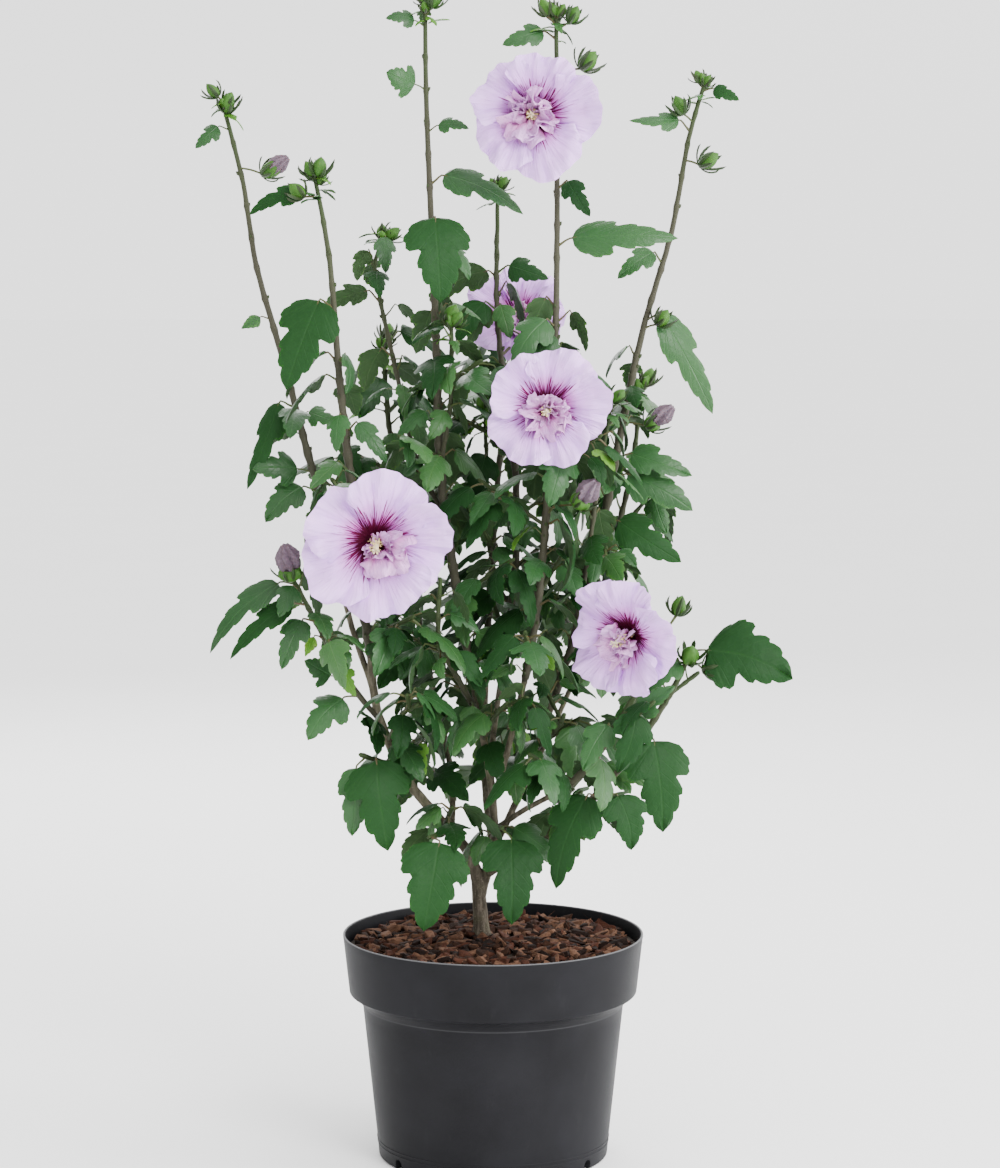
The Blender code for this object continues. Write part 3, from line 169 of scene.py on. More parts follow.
# Leaves that stand out: mass, height of the petiole's root, reach of the tip from there, blade width.
SHOWY_LEAVES = (
    ("foliage_left", 732, (-38, -18, -68), 52),
    ("foliage_left", 824, (-58, -6, -14), 20),
    ("foliage_left", 628, (34, -12, -26), 20),
    ("foliage_outer_left", 722, (-24, -6, -8), 14),
    ("foliage_outer_left", 646, (-40, -14, -70), 26),
    ("foliage_outer_left", 634, (36, -8, -2), 22),
    ("foliage_outer_left", 590, (-50, -16, 4), 32),
    ("foliage_outer_left", 574, (-44, -10, -26), 30),
    ("foliage_outer_left", 884, (-28, -4, -16), 18),
    ("foliage_low_left", 502, (-70, -10, -58), 26),
    ("foliage_low_left", 484, (-62, -18, -44), 24),
    ("foliage_low_left", 470, (-26, -24, -38), 26),
    ("foliage_low_left", 424, (-34, -8, 14), 28),
    ("foliage_low_left", 404, (-42, -12, -36), 34),
    ("foliage_tall", 800, (8, -26, -64), 56),
    ("foliage_tall", 915, (-32, -10, 14), 30),
    ("foliage_tall", 836, (78, -14, -26), 30),
    ("foliage_tall", 880, (34, -8, 2), 16),
    ("foliage_tall", 968, (-32, -6, 6), 18),
    ("foliage_inner", 784, (100, -14, 6), 34),
    ("foliage_inner", 832, (26, -16, -24), 22),
    ("foliage_inner", 956, (-44, -8, -6), 22),
    ("foliage_back", 762, (44, -12, -6), 30),
    ("foliage_back", 730, (-34, -14, -28), 28),
    ("foliage_right", 882, (-52, -8, 8), 20),
    ("foliage_right", 916, (30, -6, -8), 16),
    ("foliage_right", 770, (-38, -10, -14), 22),
    ("foliage_right", 722, (58, -14, -82), 32),
    ("foliage_right", 602, (64, -12, -14), 30),
    ("foliage_right", 584, (68, -14, -26), 38),
    ("foliage_right", 544, (66, -18, -30), 38),
    ("foliage_front_right", 396, (40, -10, 24), 22),
    ("foliage_low_right", 443, (84, -14, -22), 64),
    ("foliage_low_right", 426, (-30, -16, -18), 30),
    ("foliage_low_right", 364, (18, -16, -76), 58),
    ("foliage_skirt_front_left", 288, (-6, -30, -74), 58),
    ("foliage_skirt_front", 295, (8, -30, -76), 52),
    ("foliage_skirt_left", 350, (10, -22, -74), 56),
    ("foliage_skirt_left", 354, (-6, -12, -66), 32),
    ("foliage_skirt_right", 322, (-34, -14, -76), 46),
    ("foliage_skirt_right", 326, (24, -6, -46), 40),
)

# How each mass is dressed by rule: lowest and highest height with side twigs, then the height to
# which single leaves go on, leaf length, and the seed of its draws.
DRESSING = {
    "foliage_outer_left": (555, 580, 640, 48, 11),
    "foliage_left": (452, 600, 700, 56, 12),
    "foliage_low_left": (446, 470, 500, 48, 13),
    "foliage_tall": (425, 690, 790, 60, 14),
    "foliage_back": (440, 700, 800, 60, 15),
    "foliage_inner": (430, 690, 750, 60, 16),
    "foliage_right": (410, 530, 690, 54, 17),
    "foliage_front_right": (335, 420, 430, 58, 18),
    "foliage_low_right": (404, 404, 430, 50, 19),
    "foliage_rear_left": (425, 640, 700, 60, 20),
    "foliage_rear": (428, 670, 740, 60, 21),
    "foliage_rear_right": (430, 610, 660, 60, 22),
    "foliage_core": (395, 470, 506, 54, 23),
    "foliage_waist_left": (360, 410, 410, 58, 31),
    "foliage_waist_front": (360, 410, 410, 58, 32),
    "foliage_waist_right": (350, 400, 400, 58, 33),
    "foliage_skirt_front": (262, 300, 300, 66, 24),
    "foliage_skirt_front_left": (254, 292, 292, 64, 25),
    "foliage_skirt_left": (330, 358, 358, 58, 26),
    "foliage_skirt_right": (300, 330, 330, 58, 27),
    "foliage_skirt_rear_left": (300, 352, 352, 60, 28),
    "foliage_skirt_rear": (325, 362, 362, 60, 29),
    "foliage_skirt_rear_right": (300, 340, 340, 60, 30),
}

# Places kept open between the leaves of the rule, as seen from the eye in front of the plant:
# x and z where the line of sight crosses the plane y = 0, and the radius.
EYE = Vector((6 * MM, -2600 * MM, 754 * MM))
OPEN_PLACES = (
    (-121, 816, 25), (-69, 770, 10), (29, 783, 18), (85, 753, 26), (-69, 751, 14), (104, 720, 20),
    (-115, 716, 19), (145, 705, 11), (152, 678, 22), (-97, 635, 14), (157, 622, 14), (-191, 663, 10),
    (-146, 612, 11), (110, 564, 10), (-179, 553, 14), (169, 537, 14), (146, 508, 11), (183, 494, 16),
    (-168, 460, 11), (-210, 454, 16), (-177, 440, 15), (-148, 413, 12), (198, 376, 37), (151, 372, 13),
    (-131, 357, 24), (135, 290, 12), (-89, 267, 12), (174, 262, 30), (-148, 261, 28), (136, 256, 24),
    (98, 255, 22), (-113, 250, 19), (100, 782, 14), (28, 805, 14), (-9, 775, 11), (121, 743, 12),
    (-185, 430, 20), (-137, 334, 10), (178, 411, 10), (163, 688, 10), (-87, 640, 9), (-137, 301, 10),
    (132, 298, 10), (120, 787, 9), (-118, 431, 8), (150, 414, 8), (138, 677, 8), (163, 396, 8),
    (-181, 608, 8), (-126, 768, 8), (121, 561, 8), (6, 531, 8), (-82, 715, 8), (-126, 701, 8),
    (145, 621, 7), (122, 619, 7), (-13, 531, 7), (-104, 608, 7), (-15, 620, 7), (141, 366, 8),
)
TWIG_STEP = 57 * MM
LEAF_STEP = 56 * MM

# Buds and spent blooms: mass, height of the stalk's root, reach of the middle, bud length, width.
BUDS = (
    ("foliage_outer_left", 896, (2, -6, 10), 17, 11),
    ("foliage_outer_left", 852, (30, -10, 0), 26, 14),
    ("foliage_left", 838, (4, -8, 12), 17, 12),
    ("foliage_left", 824, (-18, -8, 6), 17, 12),
    ("foliage_tall", 976, (8, -6, 14), 15, 10),
    ("foliage_tall", 714, (14, -16, 14), 18, 13),
    ("foliage_inner", 966, (-10, -6, 16), 16, 11),
    ("foliage_inner", 962, (14, -6, 14), 16, 11),
    ("foliage_inner", 926, (26, -8, 12), 20, 14),
    ("foliage_back", 716, (34, -26, -6), 26, 14),
    ("foliage_right", 890, (-12, -6, 14), 18, 12),
    ("foliage_right", 858, (20, -8, 0), 20, 13),
    ("foliage_right", 714, (16, -8, 10), 17, 12),
    ("foliage_right", 634, (30, -14, 4), 28, 15),
    ("foliage_inner", 562, (32, -22, 14), 28, 18),
    ("foliage_low_left", 504, (-4, -10, 16), 30, 20),
    ("foliage_front_right", 426, (30, 6, 62), 18, 12),
    ("foliage_low_right", 434, (2, -12, 6), 20, 15),
    ("foliage_low_right", 436, (20, -8, -8), 18, 13),
    ("foliage_rear_left", 694, (4, 8, 16), 17, 12),
    ("foliage_rear", 734, (-6, 8, 16), 17, 12),
    ("foliage_rear_right", 654, (8, 6, 16), 17, 12),
)

LEAF_THICKNESS = 1.0 * MM
TWIG_RADII = (1.8, 1.5)
PETIOLE_RADIUS = 0.7 * MM
STALK_RADII = (1.3, 1.5)
ROD_ROLL = 0.37              # keeps a rod's edges off those of the stem that it leaves
CLEARANCE = 1.2 * MM         # space kept round a leaf when its place is tried
SLEEVE = 1.2 * MM            # space kept round a stem or twig for what grows from it


# ---------------------------------------------------------------- gathering shapes

class Heap:
    """Many small shapes gathered into one mesh, each face with a finish and each corner with a UV."""

    def __init__(self):
        self.corners = []
        self.faces = []
        self.finishes = []
        self.places = []
        self.tones = []
        self.count = 0

    def add(self, corners, faces, finish=0, places=None, tone=0.5):
        """Takes in one shape: places are its UVs, and a finish or a tone may be one or a list."""
        corners = np.asarray(corners, float)
        self.corners.append(corners)
        self.faces += [tuple(index + self.count for index in face) for face in faces]
        self.finishes += [finish] * len(faces) if isinstance(finish, int) else finish
        self.places.append(np.zeros((len(corners), 2)) if places is None else np.asarray(places, float))
        self.tones.append(np.broadcast_to(np.asarray(tone, float), (len(corners),)))
        self.count += len(corners)

    def make(self, name, finishes, slot, nodes, sharp=50):
        """One object at the origin that stands for some nodes."""
        mesh = mesh_of(name, np.concatenate(self.corners), self.faces)
        places = np.concatenate(self.places)
        loops = np.empty(len(mesh.loops), dtype=np.int32)
        mesh.loops.foreach_get("vertex_index", loops)
        layer = mesh.uv_layers.new(name="UVMap")
        layer.data.foreach_set("uv", places[loops].ravel())
        tones = mesh.attributes.new("tone", "FLOAT", "POINT")
        tones.data.foreach_set("value", np.concatenate(self.tones))
        for finish in finishes:
            mesh.materials.append(finish)
        mesh.polygons.foreach_set("material_index", self.finishes)
        return dress_object(name, mesh, nodes, sharp)


def linked(name, data):
    """A new object in the scene."""
    item = bpy.data.objects.new(name, data)
    bpy.context.scene.collection.objects.link(item)
    return item


def mesh_of(name, corners, faces):
    """A mesh from its corners and faces."""
    mesh = bpy.data.meshes.new(name)
    mesh.from_pydata([tuple(corner) for corner in corners], [], faces)
    return mesh


def mesh_of_shape(name, shape):
    """The mesh of a bmesh, which is freed."""
    mesh = bpy.data.meshes.new(name)
    shape.to_mesh(mesh)
    shape.free()
    return mesh


def outward_item(name, corners, faces):
    """A new object whose faces are turned outwards."""
    mesh = mesh_of(name, corners, faces)
    shape = bmesh.new()
    shape.from_mesh(mesh)
    bpy.data.meshes.remove(mesh)
    bmesh.ops.recalc_face_normals(shape, faces=shape.faces)
    return linked(name, mesh_of_shape(name, shape))


def dress_object(name, mesh, nodes, sharp=50):
    """Links a finished mesh as a piece of the plant, smooth but for its sharp edges."""
    mesh.shade_smooth()
    mesh.set_sharp_from_angle(angle=math.radians(sharp))
    item = linked(name, mesh)
    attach(item, "root")
    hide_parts(*nodes)
    return item


def plain_mesh(item):
    """The mesh of an object with its modifiers applied.  The object is removed."""
    graph = bpy.context.evaluated_depsgraph_get()
    mesh = bpy.data.meshes.new_from_object(item.evaluated_get(graph))
    bpy.data.objects.remove(item, do_unlink=True)
    return mesh


def corners_and_faces(mesh):
    """The corners and faces of a mesh."""
    return [vert.co.copy() for vert in mesh.vertices], [tuple(face.vertices) for face in mesh.polygons]


def taken_apart(mesh):
    """The corners and faces of a mesh, which is removed."""
    found = corners_and_faces(mesh)
    bpy.data.meshes.remove(mesh)
    return found


def compass(turn):
    """The level direction at an angle from +X."""
    return Vector((math.cos(turn), math.sin(turn), 0.0))


def facing(way):
    """The turn that brings +Z to a direction."""
    return way.to_track_quat("Z", "Y").to_matrix().to_4x4()


# ---------------------------------------------------------------- limbs

def millimetres(points):
    """Points given in millimetres, as vectors in metres."""
    return [Vector(point) * MM for point in points]


def smooth_path(points, step=30 * MM, lead=None):
    """A Catmull-Rom curve through the points, as a list of places about a step apart.

    With a lead, the curve sets out in that direction."""
    before_first = points[0] * 2 - points[1]
    if lead:
        before_first = points[1] - lead * 2 * (points[1] - points[0]).length
    ends = [before_first] + list(points) + [points[-1] * 2 - points[-2]]
    places = [points[0]]
    for before, start, stop, after in zip(ends, ends[1:], ends[2:], ends[3:]):
        count = max(1, round((stop - start).length / step))
        for index in range(1, count + 1):
            t = index / count
            places.append(0.5 * (
                2 * start + (stop - before) * t
                + (2 * before - 5 * start + 4 * stop - after) * t * t
                + (3 * start - before - 3 * stop + after) * t ** 3))
    return places


class Limb:
    """A tapering limb: its axis, its radii, and what is asked of it by those that grow from it."""

    def __init__(self, name, path, radii):
        self.name = name
        self.path = path
        self.scars = []
        spans = [(b - a).length for a, b in zip(path, path[1:])]
        self.length = sum(spans)
        self.marks = [sum(spans[:index]) / self.length for index in range(len(path))]
        if len(radii) == len(path):
            self.radii = [radius * MM for radius in radii]
        else:
            root, tip = radii
            self.radii = [(root + (tip - root) * mark) * MM for mark in self.marks]

    def at(self, share):
        """Place, direction and radius at a share of the length."""
        for index in range(len(self.path) - 1):
            if share <= self.marks[index + 1] or index == len(self.path) - 2:
                low, high = self.marks[index], self.marks[index + 1]
                t = (share - low) / (high - low)
                place = self.path[index].lerp(self.path[index + 1], t)
                along = (self.path[index + 1] - self.path[index]).normalized()
                radius = self.radii[index] + (self.radii[index + 1] - self.radii[index]) * t
                return place, along, radius

    def share_at_height(self, height):
        """The share of the length at which the axis first reaches a height, a little short of the tip."""
        last = 1.0 - 3 * MM / self.length
        for index in range(len(self.path) - 1):
            low, high = self.path[index].z, self.path[index + 1].z
            if low <= height <= high:
                t = (height - low) / (high - low)
                return min(last, self.marks[index] + t * (self.marks[index + 1] - self.marks[index]))
        return last if height > self.path[-1].z else 0.0

    def at_height(self, height):
        """Place, direction and radius where the axis first reaches a height."""
        return self.at(self.share_at_height(height))


def heading_of(twig):
    """The angle from +X at which a twig sets out."""
    flow = twig.path[-1] - twig.path[0]
    return math.atan2(flow.y, flow.x)


def grow_limb(name, carrier, share, points, root, tip):
    """A limb that starts at its carrier's axis, or face to face with its carrier's tip."""
    place, along, _ = carrier.at(share)
    if share >= 1.0:
        start = place + along * GAP
        path = smooth_path([start] + millimetres(points), lead=along)
        path.insert(1, start + along * 3 * MM)
        return Limb(name, path, (root, tip))
    return Limb(name, smooth_path([place] + millimetres(points)), (root, tip))


def bevelled_tube(path, radii):
    """Corners and faces of a closed four-sided tube, a bevelled curve made a mesh."""
    curve = bpy.data.curves.new("tube", "CURVE")
    curve.dimensions = "3D"
    curve.bevel_depth = 1.0
    curve.bevel_resolution = 0
    curve.use_fill_caps = True
    spline = curve.splines.new("POLY")
    spline.points.add(len(path) - 1)
    for point, place, radius in zip(spline.points, path, radii):
        point.co = (*place, 1.0)
        point.radius = radius
    mesh = plain_mesh(linked("tube", curve))
    bpy.data.curves.remove(curve)
    return taken_apart(mesh)


def round_tube(path, radii, sides):
    """Corners and faces of a closed round tube whose rings are carried along its path untwisted."""
    ahead = [(b - a).normalized() for a, b in zip(path, path[1:])]
    ahead.append(ahead[-1])
    side = ahead[0].orthogonal().normalized()
    corners = []
    for index, (place, radius) in enumerate(zip(path, radii)):
        along = (ahead[index] + ahead[max(0, index - 1)]).normalized()
        side = (side - along * side.dot(along)).normalized()
        other = along.cross(side)
        for step in range(sides):
            angle = math.tau * step / sides
            corners.append(place + (side * math.cos(angle) + other * math.sin(angle)) * radius)
    faces = [tuple(reversed(range(sides)))]
    for row in range(len(path) - 1):
        for step in range(sides):
            after = (step + 1) % sides
            faces.append((row * sides + step, row * sides + after,
                          (row + 1) * sides + after, (row + 1) * sides + step))
    last = (len(path) - 1) * sides
    faces.append(tuple(range(last, last + sides)))
    return corners, faces


# ---------------------------------------------------------------- what stands already

def box_round(points):
    """The lowest and highest corner of the box round the points."""
    low = [min(point[axis] for point in points) for axis in range(3)]
    high = [max(point[axis] for point in points) for axis in range(3)]
    return low, high


class Crown:
    """Everything that stands so far, to try new growth against."""

    def __init__(self):
        self.trees = []
        self.lows = np.zeros((0, 3))
        self.highs = np.zeros((0, 3))

    def add(self, points, faces):
        """Takes in one shape as standing."""
        low, high = box_round(points)
        self.trees.append(BVHTree.FromPolygons(points, faces))
        self.lows = np.vstack([self.lows, low])
        self.highs = np.vstack([self.highs, high])

    def add_sleeve(self, limb):
        """A stem with the space round it that only its own leaves and twigs may cross."""
        self.add(*bevelled_tube(limb.path, [radius + SLEEVE for radius in limb.radii]))

    def is_free(self, points, faces):
        """Whether a shape would cross nothing that stands."""
        low, high = box_round(points)
        near = np.flatnonzero(np.all((self.lows <= high) & (self.highs >= low), axis=1))
        tree = BVHTree.FromPolygons(points, faces)
        return not any(tree.overlap(self.trees[index]) for index in near)


# ---------------------------------------------------------------- the growing rule

# A blade's outline from its left lobe over the tip to its right lobe: share of length, of width.
PLAIN_OUTLINE = ((0.40, -0.50), (1.0, 0.0), (0.40, 0.50))
LOBED_OUTLINE = ((0.34, -0.50), (0.56, -0.27), (1.0, 0.0), (0.56, 0.27), (0.34, 0.50))
BLADE_FOLD = 0.22            # how far the edges rise over the rib, as a share of their distance from it


class Leaf:
    """One leaf's place: where its stalk starts, where its blade starts and points, and its size."""

    def __init__(self, base, heading, face, length, width, bend, outline=PLAIN_OUTLINE):
        self.base = base
        self.heading = heading.normalized()
        self.side = self.heading.cross(face).normalized()
        self.face = self.side.cross(self.heading).normalized()
        self.length = length
        self.width = width
        self.bend = bend
        self.outline = outline

    def on_blade(self, along, across, lift=0.0):
        """A place on the blade, which bends evenly down towards its tip."""
        angle = self.bend * along
        reach = self.length * math.sin(angle) / self.bend
        fall = self.length * (1 - math.cos(angle)) / self.bend
        raised = lift + BLADE_FOLD * abs(across) * self.width
        return self.base + self.heading * reach - self.face * (fall - raised) + self.side * across * self.width

    def shape(self, root, thick, stalk, flare=0.0, grown=1.0):
        """Corners and faces of the leaf's plain closed form, which keeps its place clear."""
        lift = self.side.cross((self.base - root).normalized()).normalized()
        spread = self.side * (stalk + flare)
        corners = [root - spread, root + spread, root - lift * stalk]
        faces = [(0, 1, 2)]
        left, right, under = 0, 1, 2
        if self.outline is LOBED_OUTLINE:
            half = self.side * (stalk + 0.6 * MM)
            corners += [self.base - half, self.base + half, self.base - self.face * stalk]
            left, right, under = 3, 4, 5
            faces += [(0, 3, 1), (1, 3, 4), (1, 4, 2), (2, 4, 5), (2, 5, 0), (0, 5, 3)]
        first = len(corners)
        corners += [self.on_blade(along * grown, across * grown) for along, across in self.outline]
        corners += [self.on_blade(0.44, 0.0, thick * 0.5), self.on_blade(0.44, 0.0, -thick * 0.5)]
        top, low = len(corners) - 2, len(corners) - 1
        edge = [left] + list(range(first, top)) + [right]
        faces += [(top, right, left), (low, under, right), (low, left, under)]
        for start, stop in zip(edge, edge[1:]):
            faces += [(top, start, stop), (low, stop, start)]
        return corners, faces


class Mass:
    """One leafy mass while it grows: its stems, twigs, leaves and buds."""

    def __init__(self, name, stem):
        self.name = name
        self.shoots = [stem]
        self.stem = stem
        self.twigs = []
        self.leaves = []
        self.stalk_roots = []

    def stalk_near(self, spot):
        """Whether a bloom's stalk leaves a stem too near for anything else to grow there."""
        return any((spot[0] - root).length < spot[2] + 4 * MM for root in self.stalk_roots)


def seen_from_front(point):
    """Where the line of sight to a point crosses the plane y = 0, as x and z."""
    on_plane = EYE + (point - EYE) * (-EYE.y / (point.y - EYE.y))
    return Vector((on_plane.x, on_plane.z))


def fills_open_place(corners):
    """Whether a leaf, given by its corners with the middle last, would cover a place kept open."""
    middle = seen_from_front(corners[-1])
    rim = [seen_from_front(corner) for corner in corners[3:-2]]
    reach = max((point - middle).length for point in rim)
    for x, z, radius in OPEN_PLACES:
        place = Vector((x, z)) * MM
        if (place - middle).length > reach + radius * MM:
            continue
        if any((middle.lerp(point, share) - place).length < radius * MM
               for point in rim for share in (0.0, 0.5, 1.0)):
            return True
    return False


def clear_start(spot, way, radius):
    """Where something with a radius, on its way out of a stem, first stands clear of the stem's sleeve."""
    axis, along, girth = spot
    slant = max(0.3, way.cross(along).length)
    return axis + way * (girth + SLEEVE + radius + 0.4 * MM) / slant


def place_leaf(mass, crown, spot, way, petiole, leaf):
    """Tries one leaf in its place.  It is kept only where it touches nothing."""
    if mass.stalk_near(spot):
        return False
    axis = spot[0]
    start = clear_start(spot, way, PETIOLE_RADIUS)
    leaf.base = start + way * petiole
    flare = 0.0
    if leaf.outline is PLAIN_OUTLINE:
        near = (start - axis).length
        flare = near / (near + petiole + leaf.length * leaf.outline[0][0]) * leaf.width * 0.5
    trial, faces = leaf.shape(start, LEAF_THICKNESS + CLEARANCE, PETIOLE_RADIUS + GAP, flare, 1.04)
    if not crown.is_free(trial, faces):
        return False
    if any(point.z < MULCH_TOP + 6 * MM and point.xy.length < RIM_RADIUS + 4 * MM for point in trial):
        return False
    if leaf.outline is PLAIN_OUTLINE and fills_open_place(trial):
        return False
    crown.add(*leaf.shape(axis, LEAF_THICKNESS, PETIOLE_RADIUS))
    leaf.axis, leaf.way = axis, way
    mass.leaves.append(leaf)
    return True


def square_to(out, along):
    """The direction out, turned square to a stem."""
    return (out - along * out.dot(along)).normalized()


def seeded_leaf(mass, crown, draw, spot, azimuth, length):
    """A leaf by rule: petiole out and up, blade arching over and down.  Up to six tries."""
    for attempt in range(6):
        turn = azimuth + math.radians((0, 22, -22, 45, -45, 70)[attempt])
        size = length * (1.0 - 0.09 * attempt) * draw.uniform(0.9, 1.1)
        out = compass(turn)
        rise = math.radians(draw.uniform(20, 50))
        way = square_to(out, spot[1]) * math.cos(rise) + spot[1] * math.sin(rise)
        dip = math.radians(draw.uniform(0, 55))
        heading = out * math.cos(dip) - UP * math.sin(dip)
        face = UP + out * 0.5 + out.cross(UP) * draw.uniform(-0.9, 0.9)
        leaf = Leaf(spot[0], heading, face, size, size * draw.uniform(0.72, 0.86), draw.uniform(0.5, 1.1))
        if place_leaf(mass, crown, spot, way, draw.uniform(6, 12) * MM, leaf):
            return True
    return False


def showy_leaf(masses, crown, row):
    """A leaf whose tip reaches a chosen place, arched between petiole and tip."""
    name, height, reach, width = row
    mass = masses[name]
    spot = mass.stem.at_height(height * MM)
    axis, along, girth = spot
    reach = Vector(reach) * MM
    for attempt in range(9):
        sway = math.radians((0, 14, -14, 28, -28, 42, -42, 60, -60)[attempt])
        tip = Matrix.Rotation(sway, 3, "Z") @ reach
        out = Vector((tip.x, tip.y, 0.0)).normalized()
        way = square_to(out, along) * 0.85 + along * 0.5
        petiole = min(10 * MM, 0.2 * reach.length)
        chord = tip - way * (petiole + girth + 1.5 * MM)
        bend = 0.8
        face = UP * 0.4 + out * 0.25 - Vector((0, 1, 0)) * 0.8
        side = chord.cross(face).normalized()
        heading = Matrix.Rotation(bend * 0.5, 3, side) @ chord.normalized()
        length = chord.length * (bend / 2) / math.sin(bend / 2)
        leaf = Leaf(axis, heading, side.cross(heading), length, width * MM, bend, LOBED_OUTLINE)
        if place_leaf(mass, crown, spot, way.normalized(), petiole, leaf):
            return True
    return False


def rod(start, stop, root, tip, sides=3):
    """Corners and faces of a straight tapering rod with few sides."""
    shape = bmesh.new()
    reach = stop - start
    bmesh.ops.create_cone(shape, cap_ends=True, segments=sides, radius1=root, radius2=tip, depth=reach.length)
    bmesh.ops.transform(shape, matrix=turned_frame((start + stop) / 2, reach, ROD_ROLL), verts=shape.verts)
    return taken_apart(mesh_of_shape("rod", shape))


def add_twig(mass, crown, draw, spot, azimuth, length):
    """A side twig that rises from the stem, kept only where it touches nothing."""
    if mass.stalk_near(spot):
        return None
    axis = spot[0]
    for attempt in range(4):
        turn = azimuth + math.radians((0, 30, -30, 60)[attempt])
        out = compass(turn)
        rise = math.radians(draw.uniform(22, 42))
        reach = length * (1.0 - 0.15 * attempt)
        way = out * math.cos(rise) + UP * math.sin(rise)
        end = axis + way * reach
        root_radius, tip_radius = TWIG_RADII[0] * MM, TWIG_RADII[1] * MM
        start = clear_start(spot, way, root_radius)
        if not crown.is_free(*rod(start, end + way * MM, root_radius + 0.3 * MM, tip_radius + 0.3 * MM)):
            continue
        crown.add(*rod(axis, end, root_radius + SLEEVE, tip_radius + SLEEVE))
        twig = Limb("twig", [axis, end], TWIG_RADII)
        mass.twigs.append(twig)
        return twig
    return None


def leaf_twig(mass, crown, draw, twig, length):
    """Alternate leaves along a twig and one at its end."""
    ahead = heading_of(twig)
    sign = draw.choice((-1, 1))
    twig.scars += [0.55, 0.78, 0.92]
    for share in (0.55, 0.78):
        sign = -sign
        turn = ahead + sign * math.radians(draw.uniform(55, 85))
        seeded_leaf(mass, crown, draw, twig.at(share), turn, length * draw.uniform(0.8, 1.0))
    seeded_leaf(mass, crown, draw, twig.at(0.92), ahead + 0.2 * sign, length * draw.uniform(0.9, 1.1))


def dress(mass, crown):
    """Side twigs with leaves low on the stem, single leaves above them."""
    low, twig_top, leaf_top, leaf_length, seed = DRESSING[mass.name]
    draw = random.Random(seed)
    for order, shoot in enumerate(mass.shoots):
        azimuth = draw.uniform(0, math.tau)
        travel = 6 * MM if order else max(8 * MM, shoot.share_at_height(low * MM) * shoot.length)
        while travel < shoot.length - 4 * MM:
            spot = shoot.at(travel / shoot.length)
            shoot.scars.append(travel / shoot.length)
            height = spot[0].z
            if height > leaf_top * MM:
                break
            azimuth += GOLDEN_TURN + draw.uniform(-0.3, 0.3)
            size = leaf_length * MM * draw.uniform(0.8, 1.12)
            if height < twig_top * MM and order == 0:
                fade = min(1.0, (twig_top * MM - height) / (150 * MM))
                reach = (34 + 36 * fade) * MM * draw.uniform(0.85, 1.15)
                twig = add_twig(mass, crown, draw, spot, azimuth, reach)
                if twig:
                    leaf_twig(mass, crown, draw, twig, size)
                seeded_leaf(mass, crown, draw, spot, azimuth + 2.6, size)
                travel += TWIG_STEP * draw.uniform(0.9, 1.1)
            else:
                seeded_leaf(mass, crown, draw, spot, azimuth, size)
                travel += LEAF_STEP * draw.uniform(0.85, 1.15)
        if order:
            seeded_leaf(mass, crown, draw, shoot.at(0.97), azimuth + GOLDEN_TURN, leaf_length * MM * 0.6)


# ---------------------------------------------------------------- finer growth

FILL_STEP = 15 * MM          # between the smaller leaves on a stem
FILL_SHARES = (0.34, 0.46, 0.66, 0.86)  # where they stand on a twig
FILL_SEED = 1000             # added to the seed of a mass, so that the finer growth has draws of its own


def fill_in(mass, crown):
    """Smaller leaves and twiglets between those of the first rule."""
    low, _, leaf_top, leaf_length, seed = DRESSING[mass.name]
    draw = random.Random(FILL_SEED + seed)
    size = leaf_length * MM
    for twig in list(mass.twigs):
        ahead = heading_of(twig)
        for share in FILL_SHARES:
            turn = ahead + draw.choice((-1, 1)) * draw.uniform(0.7, 2.0)
            seeded_leaf(mass, crown, draw, twig.at(share), turn, size * draw.uniform(0.62, 0.9))
    for order, shoot in enumerate(mass.shoots):
        azimuth = draw.uniform(0, math.tau)
        travel = 9 * MM if order else max(5 * MM, shoot.share_at_height((low - 20) * MM) * shoot.length)
        while travel < shoot.length - 4 * MM:
            spot = shoot.at(travel / shoot.length)
            if spot[0].z > leaf_top * MM:
                break
            azimuth += GOLDEN_TURN
            shoot.scars.append(travel / shoot.length)
            seeded_leaf(mass, crown, draw, spot, azimuth, size * draw.uniform(0.6, 0.95))
            travel += FILL_STEP * draw.uniform(0.85, 1.2)


# ---------------------------------------------------------------- finishes

def feed(tree, socket, value):
    """Links an input to another node's output, or gives it a value."""
    if isinstance(value, bpy.types.NodeSocket):
        tree.links.new(value, socket)
    else:
        socket.default_value = value


def node(tree, kind, *links, **values):
    """Adds a node.  Links fill its inputs in order (None skips one); other values are settings."""
    added = tree.nodes.new(kind)
    for name, value in values.items():
        setattr(added, name, value)
    for socket, value in zip([s for s in added.inputs if s.enabled], links):
        if value is not None:
            feed(tree, socket, value)
    return added


def node_fed(tree, kind, inputs, **values):
    """Adds a node whose inputs are told by their names."""
    added = node(tree, kind, **values)
    for name, value in inputs.items():
        feed(tree, added.inputs[name], value)
    return added


def math_node(tree, operation, *links):
    """The result of a sum, each term a number or a socket."""
    return node(tree, "ShaderNodeMath", *links, operation=operation).outputs[0]


def times(tree, value, factor):
    """A value times a factor."""
    return math_node(tree, "MULTIPLY", value, factor)


def times_plus(tree, value, factor, more):
    """A value times a factor, and more added to it."""
    return math_node(tree, "MULTIPLY_ADD", value, factor, more)


def blend_colors(tree, share, first, second):
    """A colour between two, each a colour or a socket."""
    mixer = node(tree, "ShaderNodeMix", data_type="RGBA")
    feed(tree, mixer.inputs["Factor"], share)
    for socket, value in zip([s for s in mixer.inputs if s.type == "RGBA"], (first, second)):
        feed(tree, socket, (*value, 1.0) if isinstance(value, tuple) else value)
    return [s for s in mixer.outputs if s.type == "RGBA"][0]


